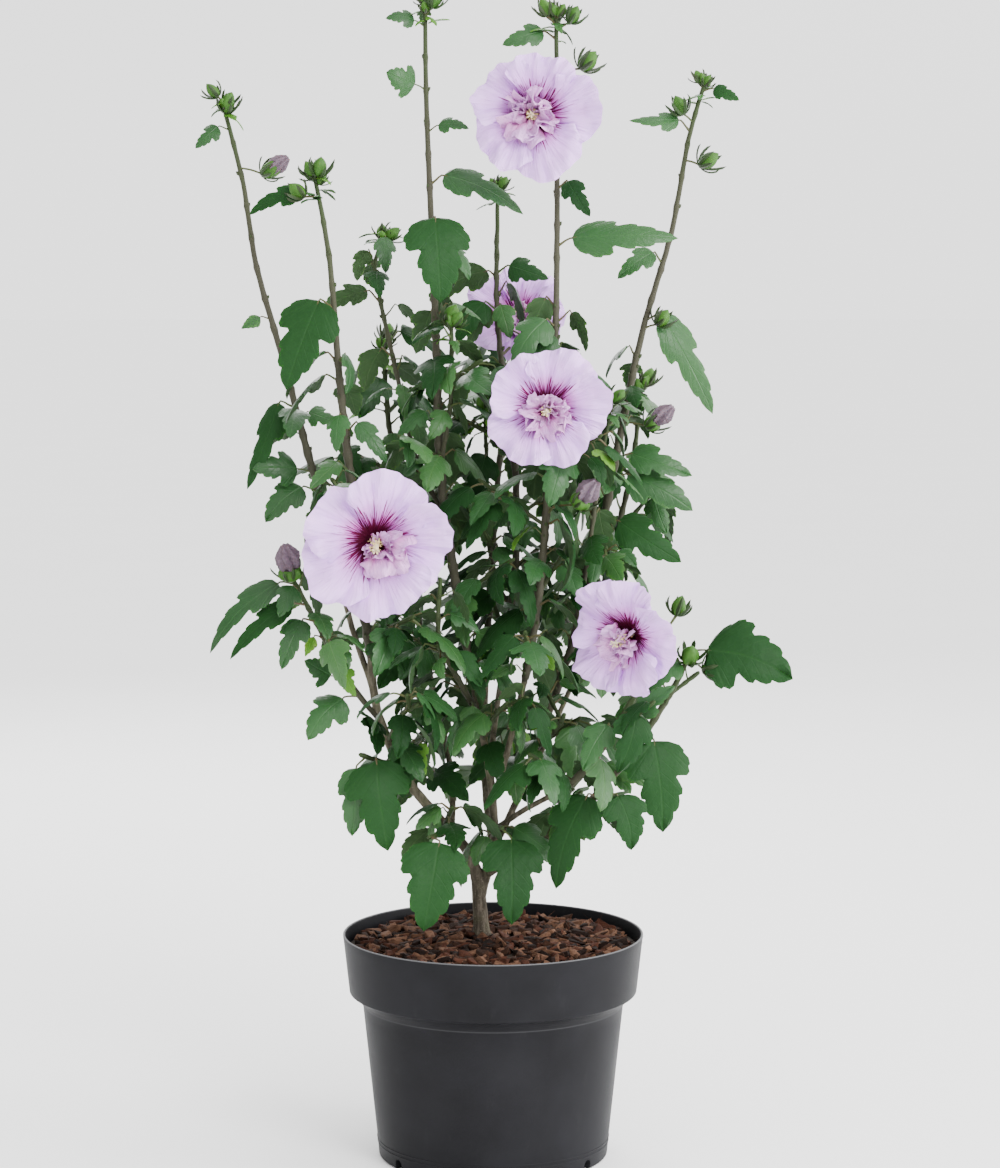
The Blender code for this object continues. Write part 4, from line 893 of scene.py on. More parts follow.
def ramp(tree, value, *stops):
    """A colour ramp: stops are (position, colour), or (position, grey value)."""
    made = tree.nodes.new("ShaderNodeValToRGB")
    tree.links.new(value, made.inputs["Fac"])
    elements = made.color_ramp.elements
    while len(elements) < len(stops):
        elements.new(0.5)
    for element, (position, color) in zip(elements, stops):
        element.position = position
        element.color = (color, color, color, 1.0) if isinstance(color, float) else (*color, 1.0)
    return made.outputs["Color"]


def grain(tree, coordinates, scale, detail=3.0, stretch=(1.0, 1.0, 1.0), roughness=0.5):
    """Noise at a scale in grains per metre, stretched along an axis where asked."""
    placed = node(tree, "ShaderNodeMapping", coordinates, None, None, stretch, vector_type="POINT")
    made = node_fed(tree, "ShaderNodeTexNoise", {
        "Vector": placed.outputs[0], "Scale": scale, "Detail": detail, "Roughness": roughness})
    return made.outputs["Fac"]


def new_finish(name, roughness, **sockets):
    """A material, its node tree and its Object coordinates.  Sockets are told with _ for a space."""
    material = bpy.data.materials.new(name)
    material.use_nodes = True
    tree = material.node_tree
    shader = tree.nodes["Principled BSDF"]
    shader.inputs["Roughness"].default_value = roughness
    for socket, value in sockets.items():
        shader.inputs[socket.replace("_", " ")].default_value = value
    return material, tree, node(tree, "ShaderNodeTexCoord").outputs["Object"]


def covered(material, skin, height, distance, strength=1.0):
    """The material with its colour and its relief, which is the height times the distance in metres."""
    tree = material.node_tree
    shader = tree.nodes["Principled BSDF"]
    bump = node_fed(tree, "ShaderNodeBump", {"Strength": strength, "Distance": distance, "Height": height})
    tree.links.new(skin, shader.inputs["Base Color"])
    tree.links.new(bump.outputs["Normal"], shader.inputs["Normal"])
    return material


def tone_of(tree):
    """The tone that each small shape in a joined mesh was given, from 0 to 1."""
    return node(tree, "ShaderNodeAttribute", attribute_name="tone").outputs["Fac"]


def blade_veins(tree):
    """The veins of a leaf, 0 to 1, from its UV: rib, two lobe veins and slanting side veins."""
    spot = node(tree, "ShaderNodeSeparateXYZ", node(tree, "ShaderNodeUVMap", uv_map="UVMap").outputs[0])
    off = math_node(tree, "ABSOLUTE", times_plus(tree, spot.outputs[0], 2.0, -1.0))
    along = spot.outputs[1]
    rib = math_node(tree, "SUBTRACT", 1.0, math_node(tree, "DIVIDE", off, 0.055))
    lobe_off = math_node(tree, "ABSOLUTE", times_plus(tree, along, -3.1, off))
    lobe = math_node(tree, "SUBTRACT", 0.6, math_node(tree, "DIVIDE", lobe_off, 0.12))
    slant = times_plus(tree, off, -0.42, along)
    wave = math_node(tree, "PINGPONG", times(tree, slant, 6.3), 0.5)
    side = math_node(tree, "SUBTRACT", 0.42, times(tree, wave, 5.0))
    found = math_node(tree, "MAXIMUM", math_node(tree, "MAXIMUM", rib, lobe), side)
    return node(tree, "ShaderNodeClamp", found).outputs[0]


def leaf_finish(name, deep, lit, vein, roughness, through, shine):
    """A green blade: paler veins, faint mottling, and a tone dealt to each leaf."""
    material, tree, place = new_finish(name, roughness, Subsurface_Weight=through, Subsurface_Scale=0.003,
                                       Subsurface_Radius=(0.6, 1.0, 0.25), Specular_IOR_Level=shine)
    mottle = grain(tree, place, 130.0, 3.0)
    share = times_plus(tree, tone_of(tree), 0.75, times(tree, mottle, 0.3))
    blade = blend_colors(tree, share, deep, lit)
    veins = blade_veins(tree)
    painted = blend_colors(tree, times(tree, veins, 0.30), blade, vein)
    fine = grain(tree, place, 900.0, 2.0)
    quilt = grain(tree, place, 210.0, 2.0)
    height = times_plus(tree, veins, -0.45, times_plus(tree, quilt, 0.8, times(tree, fine, 0.10)))
    return covered(material, painted, height, 0.0006)


def shoot_finish():
    """Twigs and shoots: grey-brown where old, olive green where young, with pale specks."""
    material, tree, place = new_finish("shoot_bark", 0.62, Specular_IOR_Level=0.15)
    streak = grain(tree, place, 300.0, 4.0, (1.0, 1.0, 0.25))
    specks = ramp(tree, grain(tree, place, 900.0, 2.0), (0.62, 0.0), (0.70, 1.0))
    share = times_plus(tree, streak, 0.5, math_node(tree, "SUBTRACT", tone_of(tree), 0.25))
    skin = ramp(tree, share, (0.0, (0.050, 0.046, 0.032)), (0.45, (0.042, 0.045, 0.025)),
                (1.0, (0.028, 0.050, 0.015)))
    painted = blend_colors(tree, times(tree, specks, 0.30), skin, (0.14, 0.125, 0.095))
    return covered(material, painted, streak, 0.0006)


def bark_finish():
    """Grey-brown bark below, tan above, with stretched fissures, pale specks and a green cast."""
    material, tree, place = new_finish("old_bark", 0.8, Specular_IOR_Level=0.12)
    height = node(tree, "ShaderNodeSeparateXYZ", place).outputs[2]
    rise = node(tree, "ShaderNodeMapRange", height, 0.19, 0.36).outputs[0]
    fissures = grain(tree, place, 260.0, 6.0, (1.0, 1.0, 0.22), 0.62)
    blotches = grain(tree, place, 55.0, 3.0)
    low = ramp(tree, fissures, (0.30, (0.018, 0.014, 0.010)), (0.52, (0.056, 0.045, 0.034)),
               (0.75, (0.130, 0.108, 0.085)))
    high = ramp(tree, fissures, (0.28, (0.044, 0.038, 0.026)), (0.52, (0.115, 0.102, 0.072)),
                (0.78, (0.235, 0.210, 0.160)))
    skin = blend_colors(tree, rise, low, high)
    green = times(tree, ramp(tree, blotches, (0.50, 0.0), (0.72, 1.0)), 0.35)
    skin = blend_colors(tree, green, skin, (0.065, 0.080, 0.032))
    specks = ramp(tree, grain(tree, place, 620.0, 2.0, (1.0, 1.0, 1.8)), (0.64, 0.0), (0.72, 1.0))
    skin = blend_colors(tree, times(tree, specks, 0.40), skin, (0.33, 0.28, 0.22))
    return covered(material, skin, times_plus(tree, specks, 0.3, fissures), 0.0012)


def skin_finish(name, color, other, roughness, scale=400.0, relief=0.0003, through=0.0):
    """A plain plant skin: two colours mixed by grain and tone, with a fine relief."""
    material, tree, place = new_finish(name, roughness, Subsurface_Weight=through, Subsurface_Scale=0.002,
                                       Specular_IOR_Level=0.2)
    grains = grain(tree, place, scale, 4.0)
    share = times_plus(tree, tone_of(tree), 0.6, times_plus(tree, grains, 0.8, -0.25))
    return covered(material, blend_colors(tree, share, color, other), grains, relief)


def petal_finish(name, eye_reach, edge, middle, flush, throat):
    """A petal by its UV: dark eye, thin streaks that run out of it, soft veins and a paler edge."""
    material, tree, place = new_finish(name, 0.6, Subsurface_Weight=0.12, Subsurface_Scale=0.003,
                                       Subsurface_Radius=(1.0, 0.6, 1.0), Specular_IOR_Level=0.10)
    spot = node(tree, "ShaderNodeUVMap", uv_map="UVMap").outputs[0]
    parts = node(tree, "ShaderNodeSeparateXYZ", spot)
    across, along = parts.outputs[0], parts.outputs[1]
    fan = node(tree, "ShaderNodeCombineXYZ", across, times(tree, along, 0.06), tone_of(tree))
    streaks = grain(tree, fan.outputs[0], 46.0, 2.0, roughness=0.55)
    broad = grain(tree, fan.outputs[0], 9.0, 1.0)
    veins = grain(tree, fan.outputs[0], 30.0, 2.5, roughness=0.6)
    mixed = times_plus(tree, math_node(tree, "SUBTRACT", streaks, 0.5), -1.15,
                       times(tree, math_node(tree, "SUBTRACT", broad, 0.5), -0.45))
    reach = math_node(tree, "ADD", mixed, along)
    skin = ramp(tree, along, (eye_reach * 0.9, flush), (eye_reach + 0.22, middle),
                (min(0.98, eye_reach + 0.55), edge))
    solid = times_plus(tree, mixed, 0.22, along)
    eye = math_node(tree, "MAXIMUM", ramp(tree, reach, (eye_reach * 0.88, 1.0), (eye_reach + 0.030, 0.0)),
                    ramp(tree, solid, (eye_reach * 0.62, 1.0), (eye_reach * 0.92, 0.0)))
    dark = ramp(tree, along, (eye_reach * 0.55, throat), (eye_reach + 0.10, (0.125, 0.004, 0.055)))
    cloud = ramp(tree, grain(tree, place, 55.0, 2.0), (0.35, 0.0), (0.65, 1.0))
    skin = blend_colors(tree, times(tree, cloud, 0.30), skin, (0.58, 0.36, 0.84))
    lines = ramp(tree, veins, (0.32, 1.0), (0.52, 0.0))
    fade = node(tree, "ShaderNodeMapRange", along, 0.25, 1.0, 0.50, 0.12).outputs[0]
    skin = blend_colors(tree, times(tree, lines, fade), skin, (0.42, 0.20, 0.52))
    skin = blend_colors(tree, eye, skin, dark)
    return covered(material, skin, times_plus(tree, cloud, 0.45, veins), 0.0024)


def pot_finish():
    """Charcoal moulded plastic with a satin skin, fine grain and a few scuffs, a painted highlight along the rim's
    edge and a painted highlight line at the foot of the slope under the band.
    """
    material, tree, place = new_finish("pot_plastic", 0.42, Specular_IOR_Level=0.05)
    cloud = grain(tree, place, 16.0, 4.0)
    fine = grain(tree, place, 1500.0, 2.0)
    scuffs = ramp(tree, grain(tree, place, 60.0, 6.0, (1.0, 1.0, 0.35), 0.7), (0.60, 0.0), (0.75, 1.0))
    skin = ramp(tree, cloud, (0.30, (0.0098, 0.0098, 0.0110)), (0.70, (0.0145, 0.0145, 0.0166)))
    skin = blend_colors(tree, times(tree, scuffs, 0.10), skin, (0.045, 0.045, 0.048))
    height = node(tree, "ShaderNodeSeparateXYZ", place).outputs[2]
    # Painted highlight: the rim's outer edge is lightened where it would catch the light.
    rim_highlight = node(tree, "ShaderNodeMapRange", height, POT_HEIGHT - 1.1 * MM, POT_HEIGHT - 0.5 * MM).outputs[0]
    skin = blend_colors(tree, times(tree, rim_highlight, 0.8), skin, (0.115, 0.115, 0.120))
    # Painted highlight: a thin light line where the slope under the band meets the wall.
    foot = math_node(tree, "ABSOLUTE", math_node(tree, "SUBTRACT", height, POT_HEIGHT - BAND_DEPTH - BAND_STEP))
    step_highlight = node(tree, "ShaderNodeMapRange", foot, 0.9 * MM, 0.2 * MM).outputs[0]
    skin = blend_colors(tree, times(tree, step_highlight, 0.32), skin, (0.070, 0.070, 0.074))
    rough = node(tree, "ShaderNodeMapRange", cloud, 0.25, 0.75, 0.36, 0.50).outputs[0]
    tree.links.new(rough, tree.nodes["Principled BSDF"].inputs["Roughness"])
    return covered(material, skin, times_plus(tree, scuffs, 0.4, fine), 0.00012, 0.7)


def compost_finish():
    """Dark crumbly compost."""
    material, tree, place = new_finish("compost", 0.95)
    crumbs = grain(tree, place, 420.0, 6.0, roughness=0.7)
    skin = ramp(tree, crumbs, (0.30, (0.010, 0.007, 0.005)), (0.55, (0.040, 0.025, 0.016)),
                (0.80, (0.085, 0.052, 0.03)))
    return covered(material, skin, crumbs, 0.003)


def chip_finish(name, dark, light):
    """Bark chips: layered grain along each chip and a tone of its own."""
    material, tree, place = new_finish(name, 0.85, Specular_IOR_Level=0.08)
    layers = grain(tree, place, 240.0, 6.0, (1.0, 1.0, 3.2), 0.65)
    large = grain(tree, place, 45.0, 1.0)
    share = times_plus(tree, large, 0.9, times_plus(tree, layers, 1.2, -0.6))
    skin = blend_colors(tree, node(tree, "ShaderNodeClamp", share).outputs[0], dark, light)
    return covered(material, skin, layers, 0.0015)


LEAF_FINISHES = [
    leaf_finish("leaf_deep", (0.0060, 0.0270, 0.0066), (0.0135, 0.0510, 0.0130), (0.022, 0.068, 0.018),
                0.44, 0.05, 0.07),
    leaf_finish("leaf_green", (0.0125, 0.0485, 0.0125), (0.0280, 0.0940, 0.0255), (0.042, 0.125, 0.034),
                0.37, 0.06, 0.26),
    leaf_finish("leaf_bright", (0.0195, 0.0690, 0.0170), (0.0410, 0.1190, 0.0310), (0.075, 0.17, 0.040),
                0.40, 0.10, 0.26),
    leaf_finish("leaf_young", (0.0500, 0.1550, 0.0150), (0.0950, 0.2350, 0.0250), (0.16, 0.31, 0.060),
                0.44, 0.14, 0.20),
    leaf_finish("leaf_underside", (0.0240, 0.0560, 0.0200), (0.0420, 0.0850, 0.0310), (0.08, 0.13, 0.055),
                0.62, 0.08, 0.12),
]
UNDERSIDE = 4
SHOOT_FINISH = shoot_finish()
BARK_FINISH = bark_finish()
STALK_FINISH = skin_finish("leaf_stalk", (0.045, 0.085, 0.022), (0.10, 0.065, 0.038), 0.5, through=0.05)
BUD_FINISH = skin_finish("bud_skin", (0.026, 0.085, 0.011), (0.060, 0.165, 0.020), 0.5, 300.0, 0.00015, 0.08)
CLAW_FINISH = skin_finish("bract_dark", (0.016, 0.050, 0.010), (0.034, 0.036, 0.020), 0.5, 300.0, 0.0001)
SPENT_FINISH = skin_finish("spent_petals", (0.070, 0.044, 0.060), (0.235, 0.175, 0.220), 0.65, 420.0, 0.0012, 0.08)
PETAL_FINISH = petal_finish("petal_lilac", 0.33, (0.77, 0.46, 0.95), (0.74, 0.37, 0.90), (0.58, 0.13, 0.52),
                            (0.060, 0.001, 0.016))
INNER_FINISH = petal_finish("petal_inner", 0.18, (0.80, 0.42, 0.76), (0.76, 0.28, 0.60), (0.56, 0.08, 0.34),
                            (0.070, 0.002, 0.018))
BACK_FINISH = petal_finish("petal_back", 0.10, (0.76, 0.52, 0.92), (0.74, 0.50, 0.88), (0.66, 0.46, 0.72),
                           (0.48, 0.30, 0.46))
COLUMN_FINISH = skin_finish("column_cream", (0.58, 0.47, 0.30), (0.70, 0.62, 0.40), 0.5, 600.0, 0.0003, 0.15)
ANTHER_FINISH = skin_finish("anther_pollen", (0.66, 0.54, 0.22), (0.76, 0.70, 0.42), 0.7, 1200.0, 0.0003, 0.1)
POT_FINISH = pot_finish()
COMPOST_FINISH = compost_finish()
CHIP_FINISHES = [
    ("bark_chips_red", chip_finish("chip_red", (0.017, 0.0060, 0.004), (0.078, 0.030, 0.018)), 11),
    ("bark_chips_brown", chip_finish("chip_brown", (0.010, 0.0045, 0.003), (0.042, 0.019, 0.011)), 12),
    ("bark_chips_tan", chip_finish("chip_tan", (0.034, 0.015, 0.009), (0.165, 0.085, 0.052)), 13),
    ("bark_chips_dark", chip_finish("chip_dark", (0.0040, 0.0024, 0.002), (0.018, 0.009, 0.0065)), 14),
]


# ---------------------------------------------------------------- leaves in their real outline

# Half of a blade's outline from its stalk to its tip: share of the length, share of the half width.
LOBED_EDGE = (
    (0.010, 0.16), (0.02, 0.42), (0.07, 0.74), (0.13, 0.86), (0.15, 0.84), (0.21, 1.00), (0.28, 1.04),
    (0.30, 0.97), (0.37, 0.98), (0.405, 0.86), (0.375, 0.62), (0.41, 0.50), (0.47, 0.58), (0.54, 0.66),
    (0.60, 0.64), (0.61, 0.53), (0.67, 0.55), (0.74, 0.52), (0.78, 0.43), (0.785, 0.34), (0.86, 0.32),
    (0.92, 0.22), (0.97, 0.08),
)
PLAIN_EDGE = (
    (0.010, 0.16), (0.04, 0.42), (0.10, 0.68), (0.16, 0.82), (0.18, 0.82), (0.24, 0.96), (0.31, 1.02),
    (0.33, 0.96), (0.39, 0.99), (0.44, 0.93), (0.45, 0.82), (0.49, 0.80), (0.53, 0.84), (0.58, 0.82),
    (0.62, 0.76), (0.63, 0.67), (0.68, 0.67), (0.75, 0.62), (0.79, 0.52), (0.795, 0.43), (0.86, 0.38),
    (0.92, 0.26), (0.97, 0.08),
)
SMALL_EDGE = (
    (0.03, 0.22), (0.12, 0.64), (0.26, 0.96), (0.38, 1.00), (0.45, 0.84), (0.56, 0.80), (0.64, 0.60),
    (0.76, 0.50), (0.82, 0.32), (0.93, 0.18),
)
SWELL_ROW = ((0.010, 0.06), (0.05, 0.22), (0.14, 0.44), (0.26, 0.52), (0.39, 0.36), (0.52, 0.34),
             (0.66, 0.30), (0.82, 0.18), (0.93, 0.09))
RIB_ROW = (0.008, 0.10, 0.24, 0.38, 0.54, 0.72, 0.88)
BLADE_THICK = 0.55 * MM
LOBED_LENGTH = 44 * MM       # longer leaves have deeper lobes
YOUNG_LENGTH = 34 * MM       # shorter ones are brighter, on finer stalks
PLAIN_LENGTH = 20 * MM       # and still shorter ones have a simple edge
BLADE_SLIM = 0.83            # a fine blade's width, as a share of its plain form's, where that has no lobes


def strip(first, second):
    """Triangles between two rows of (along, index), which share their two ends."""
    faces = []
    i = j = 0
    while i < len(first) - 1 or j < len(second) - 1:
        forward = j == len(second) - 1 or (i < len(first) - 1 and first[i + 1][0] <= second[j + 1][0])
        if forward:
            faces.append((first[i][1], first[i + 1][1], second[j][1]))
            i += 1
        else:
            faces.append((first[i][1], second[j + 1][1], second[j][1]))
            j += 1
    return [face for face in faces if len(set(face)) == 3]


class Look:
    """How one leaf differs from the next: lobes, fold, swell, ripple and twist."""

    def __init__(self, draw, lobed):
        self.lobes = [min(1.0, max(0.0, (-0.04 if lobed else 0.24) + draw.uniform(-0.36, 0.46))) for _ in range(2)]
        self.fold = draw.uniform(-0.12, 0.26)
        self.swell = draw.uniform(0.02, 0.05)
        self.ripple = draw.uniform(0.010, 0.040)
        self.waves = draw.uniform(9.0, 15.0)
        self.phase = draw.uniform(0.0, math.tau)
        self.twist = draw.uniform(-0.5, 0.5)
        self.skew = draw.uniform(-0.06, 0.06)
        self.tone = draw.random()


def blade_point(leaf, look, along, across, lift=0.0):
    """A place on the blade; across runs from -1 to 1 at the widest."""
    angle = leaf.bend * along
    upward = leaf.face * math.cos(angle) + leaf.heading * math.sin(angle)
    reach = leaf.length * math.sin(angle) / leaf.bend
    fall = leaf.length * (1 - math.cos(angle)) / leaf.bend
    place = leaf.base + leaf.heading * reach - leaf.face * fall
    off = abs(across)
    half = 0.5 * leaf.width * (1.0 if leaf.outline is LOBED_OUTLINE else BLADE_SLIM)
    wave = look.ripple * leaf.width * off * off * math.sin(look.waves * along + look.phase + (across > 0) * 1.9)
    droop = -0.34 * half * max(0.0, off - 0.30) ** 1.6
    raised = look.fold * off * half + wave + droop + lift
    roll = look.twist * along
    side = leaf.side * math.cos(roll) + upward * math.sin(roll)
    rise = upward * math.cos(roll) - leaf.side * math.sin(roll)
    skew = leaf.side * look.skew * leaf.length * math.sin(math.pi * along)
    return place + skew + side * across * half + rise * raised


def blade(heap, leaf, look, finish, plain=False):
    """One leaf blade: a closed thin shell with swelled halves over a sunk rib, in its own outline."""
    edges = []
    for sign, lobe in zip((-1, 1), look.lobes):
        if plain:
            edge = [(a, sign * w) for a, w in SMALL_EDGE]
        else:
            edge = [(a + (c - a) * lobe, sign * (w + (d - w) * lobe))
                    for (a, w), (c, d) in zip(LOBED_EDGE, PLAIN_EDGE)]
        edges.append(edge)
    corners, places, faces, finishes = [], [], [], []

    def put(along, across, lift=0.0):
        """Adds a corner, and gives its place along the blade with its number."""
        corners.append(blade_point(leaf, look, along, across, lift))
        places.append((0.5 + 0.5 * across, along))
        return along, len(corners) - 1

    root, tip = put(0.0, 0.0), put(1.0, 0.0)
    rib = [root] + [put(along, 0.0, 0.35 * BLADE_THICK) for along in RIB_ROW] + [tip]
    under = [root] + [put(along, 0.0, -0.65 * BLADE_THICK) for along in RIB_ROW[::2]] + [tip]
    for sign, edge in zip((-1, 1), edges):
        border = [root] + [put(along, across) for along, across in edge] + [tip]
        if plain:
            upper = strip(rib, border)
        else:
            swell = [root] + [put(a, sign * w, look.swell * leaf.width) for a, w in SWELL_ROW] + [tip]
            upper = strip(rib, swell) + strip(swell, border)
        lower = strip(under, border)
        if sign > 0:
            upper = [face[::-1] for face in upper]
        else:
            lower = [face[::-1] for face in lower]
        faces += upper + lower
        finishes += [finish] * len(upper) + [UNDERSIDE] * len(lower)
    heap.add(corners, faces, finishes, places, look.tone)


def hides_open_place(leaf, look):
    """Whether a blade, seen from the front, lies over the middle of a place kept open."""
    rim = [seen_from_front(blade_point(leaf, look, along, sign * across))
           for sign, edge in ((-1, LOBED_EDGE), (1, LOBED_EDGE[::-1])) for along, across in edge]
    sides = list(zip(rim, rim[1:] + rim[:1]))
    for x, z, _ in OPEN_PLACES:
        crossed = False
        for a, b in sides:
            if (a.y > z * MM) != (b.y > z * MM) and x * MM < a.x + (b.x - a.x) * (z * MM - a.y) / (b.y - a.y):
                crossed = not crossed
        if crossed:
            return True
    return False


def petiole(heap, leaf, tone):
    """The stalk of a leaf: it leaves the stem, bends, and runs a little way under the blade."""
    reach = (leaf.base - leaf.axis).length
    bent = leaf.base - leaf.heading * 0.22 * reach
    under = leaf.base + leaf.heading * 0.06 * leaf.length - leaf.face * 0.4 * MM
    mid = leaf.axis.lerp(leaf.base, 0.45) + UP * 0.06 * reach
    path = smooth_path([leaf.axis, mid, bent.lerp(leaf.base, 0.35), under], reach / 4)
    thick = 0.90 * MM if leaf.length > YOUNG_LENGTH else 0.65 * MM
    count = len(path) - 1
    radii = [thick * (1.5 - 0.55 * min(1.0, 2.2 * step / count)) * (1.0 if step < count else 0.5)
             for step in range(len(path))]
    heap.add(*round_tube(path, radii, 5), tone=tone)


# ---------------------------------------------------------------- stems, twigs and bark

def fine_path(limb, step):
    """The limb's axis as places about a step apart, with the radius at each."""
    count = max(3, round(limb.length / step))
    spots = [limb.at(index / count) for index in range(count + 1)]
    places = [spot[0] for spot in spots]
    for _ in range(2):
        eased = [(a + 2 * b + c) / 4 for a, b, c in zip(places, places[1:], places[2:])]
        places = [places[0]] + eased + [places[-1]]
    return places, [spot[2] for spot in spots]


YOUNG_RUN = 0.14             # how far back from its tip a shoot is still greenish


def axil_bud(heap, limb, scar, azimuth, size):
    """A small pointed bud on the stem, above a leaf's root."""
    root, along, girth = limb.at(scar)
    out = compass(azimuth)
    profile = [(0.0, 0.0), (0.34 * size, 0.10 * size), (0.38 * size, 0.42 * size), (0.20 * size, 0.78 * size),
               (0.0, size)]
    heap.add(*lathe(profile, 6, turned_frame(root + out * 0.9 * girth, out * 0.8 + along)), tone=0.75)


def shoot(heap, limb, scars, swell, sides=8, step=3.5 * MM, start_back=0.0):
    """A stem or twig: swollen at each leaf's root, wobbling slightly sideways along its length, and rounded at its
    tip.
    """
    places, radii = fine_path(limb, step)
    count = len(places) - 1
    for index in range(count + 1):
        share = index / count
        near = min((abs(share - scar) * limb.length for scar in scars), default=1.0)
        radii[index] *= 1.0 + 0.38 * math.exp(-(near / (2.8 * MM)) ** 2) + swell * min(1.0, share / 0.2)
        wobble = noise.noise(places[index] * 90.0) * 0.35 * radii[index]
        places[index] = places[index] + limb.path[0].cross(UP).normalized() * wobble
    if start_back:
        back = (places[0] - places[1]).normalized()
        places.insert(0, places[0] + back * start_back)
        radii.insert(0, radii[0])
    ahead = (places[-1] - places[-2]).normalized()
    places += [places[-1] + ahead * 0.6 * radii[-1], places[-1] + ahead * radii[-1]]
    radii += [0.75 * radii[-1], 0.25 * radii[-1]]
    corners, faces = round_tube(places, radii, sides)
    age = [1.0 - 0.85 * min(1.0, (Vector(corner) - places[-1]).length / YOUNG_RUN) for corner in corners]
    heap.add(corners, faces, tone=age)


LOW_FORK = 0.3               # boughs that start below this height have a stronger collar
COLLAR_RUN = 9 * MM          # how far a collar reaches along its bough


def bough_tube(limb):
    """Places and radii of a bough: it starts inside its carrier, with a collar where it leaves it."""
    places, radii = fine_path(limb, 3 * MM)
    collar = 0.35 if limb.path[0].z < LOW_FORK else 0.25
    for index, place in enumerate(places):
        radii[index] *= 1.0 + collar * math.exp(-((place - places[0]).length / COLLAR_RUN) ** 2)
    back = (places[0] - places[1]).normalized()
    if limb.carrier_share < 1.0:
        places.insert(0, places[0] + back * 0.4 * radii[0])
        radii.insert(0, 0.8 * radii[0])
    else:
        places.insert(0, places[0] + back * 4 * MM)
        radii.insert(0, radii[0])
    return places, radii


def trunk_tube(limb):
    """Places and radii of the trunk, from its flat cut on the mulch."""
    places, _ = fine_path(limb, 3 * MM)
    places[0] = limb.path[0]
    count = len(places) - 1
    return places, [limb.at(index / count)[2] for index in range(count + 1)]


def bark_object(limbs):
    """Trunk and boughs grown into one another: fused tubes with collars, fissures and relief."""
    heap = Heap()
    for name, limb in limbs.items():
        places, radii = trunk_tube(limb) if name == "trunk" else bough_tube(limb)
        ahead = (places[-1] - places[-2]).normalized()
        places.append(places[-1] + ahead * 0.3 * MM)
        radii.append(radii[-1] * 0.98)
        heap.add(*round_tube(places, radii, 20))
    item = linked("limbs", mesh_of("limbs", np.concatenate(heap.corners), heap.faces))
    fused = item.modifiers.new("fused", "REMESH")
    fused.mode = "VOXEL"
    fused.voxel_size = 0.82 * MM
    eased = item.modifiers.new("eased", "SMOOTH")
    eased.iterations = 4
    eased.factor = 0.5
    mesh = plain_mesh(item)
    foot = limbs["trunk"].path[0].z
    normals = [vert.normal.copy() for vert in mesh.vertices]
    for vert, normal in zip(mesh.vertices, normals):
        spot = vert.co
        stretched = Vector((spot.x, spot.y, spot.z * 0.28))
        relief = noise.fractal(stretched * 420.0, 0.8, 2.1, 4) * 0.38
        rings = noise.noise(Vector((spot.x * 60, spot.y * 60, spot.z * 330.0))) * 0.16
        low = max(0.35, min(1.0, 1.35 - (spot.z - foot) / 0.12))
        if spot.z > foot + 0.6 * MM:
            vert.co = spot + normal * (relief + rings) * low * MM
    mesh.materials.clear()
    mesh.materials.append(BARK_FINISH)
    return dress_object("trunk_and_boughs", mesh, list(limbs), 60)


# ---------------------------------------------------------------- buds and spent blooms

def turned_frame(middle, way, roll=0.0):
    """A frame whose +Z points along a way."""
    return Matrix.Translation(middle) @ facing(way) @ Matrix.Rotation(roll, 4, "Z")


def lathe(profile, sides, place, ribs=0, rib_depth=0.0, turn=0.0):
    """A closed turned piece from (radius, height) pairs, with ribs where asked."""
    corners, faces, rows = [], [], []
    for reach, height in profile:
        if reach == 0.0:
            corners.append(place @ Vector((0.0, 0.0, height)))
            rows.append([len(corners) - 1] * sides)
            continue
        row = []
        for step in range(sides):
            angle = math.tau * step / sides
            rib = 1.0 + rib_depth * math.cos(ribs * angle + turn * height)
            corners.append(place @ Vector((reach * rib * math.cos(angle), reach * rib * math.sin(angle), height)))
            row.append(len(corners) - 1)
        rows.append(row)
    for lower, upper in zip(rows, rows[1:]):
        for step in range(sides):
            after = (step + 1) % sides
            faces.append(tuple(dict.fromkeys((lower[step], lower[after], upper[after], upper[step]))))
    return corners, faces


def claw(place, length, width, curl, lean):
    """A narrow pointed bract that leans out and then curls: a closed three-sided blade."""
    count = 5

    def middle(share):
        """How far out and how far up the bract's middle is."""
        angle = lean + curl * share
        return (length * (math.cos(lean) - math.cos(angle)) / curl,
                length * (math.sin(angle) - math.sin(lean)) / curl)

    corners, faces = [], []
    for step in range(count):
        share = step / count
        out, up = middle(share)
        half = 0.5 * width * (0.85 + 0.5 * share - 0.75 * share * share)
        thick = 0.50 * width * (1.0 - 0.4 * share)
        corners += [place @ Vector(spot) for spot in ((out, -half, up), (out, half, up), (out + thick, 0.0, up))]
    for row in range(count - 1):
        for step in range(3):
            after = (step + 1) % 3
            faces.append((3 * row + step, 3 * row + 3 + step, 3 * row + 3 + after, 3 * row + after))
    out, up = middle(1.0)
    corners.append(place @ Vector((out, 0.0, up)))
    last = 3 * (count - 1)
    faces += [(last + step, len(corners) - 1, last + (step + 1) % 3) for step in range(3)]
    faces.append((0, 1, 2))
    return corners, faces


def claws(heap, middle, way, foot_radius, length, width, count, tone, finish=0):
    """A ring of bracts round the foot of a bud: they lean out, then curl up past it."""
    for index in range(count):
        ring = turned_frame(middle, way, math.tau * (index + 0.3 * (index % 2)) / count)
        place = ring @ Matrix.Translation((foot_radius, 0.0, 0.0))
        curl, lean = -0.80 - 0.45 * (index % 2), 1.00 + 0.12 * (index % 3)
        heap.add(*claw(place, length * (1.0 - 0.10 * (index % 3)), width, curl, lean), finish, tone=tone)


def bud_stalk(heap, root, foot, way, length, arch, tone):
    """The short arched stalk that carries a bud or a spent bloom."""
    reach = (foot - root).length
    top = root.lerp(foot, 0.5) + UP * arch * reach
    path = smooth_path([root, top, foot + way * 0.08 * length], max(reach / 5, 0.8 * MM))
    heap.add(*round_tube(path, [0.9 * MM] * (len(path) - 1) + [1.3 * MM], 6), 1, tone=tone)


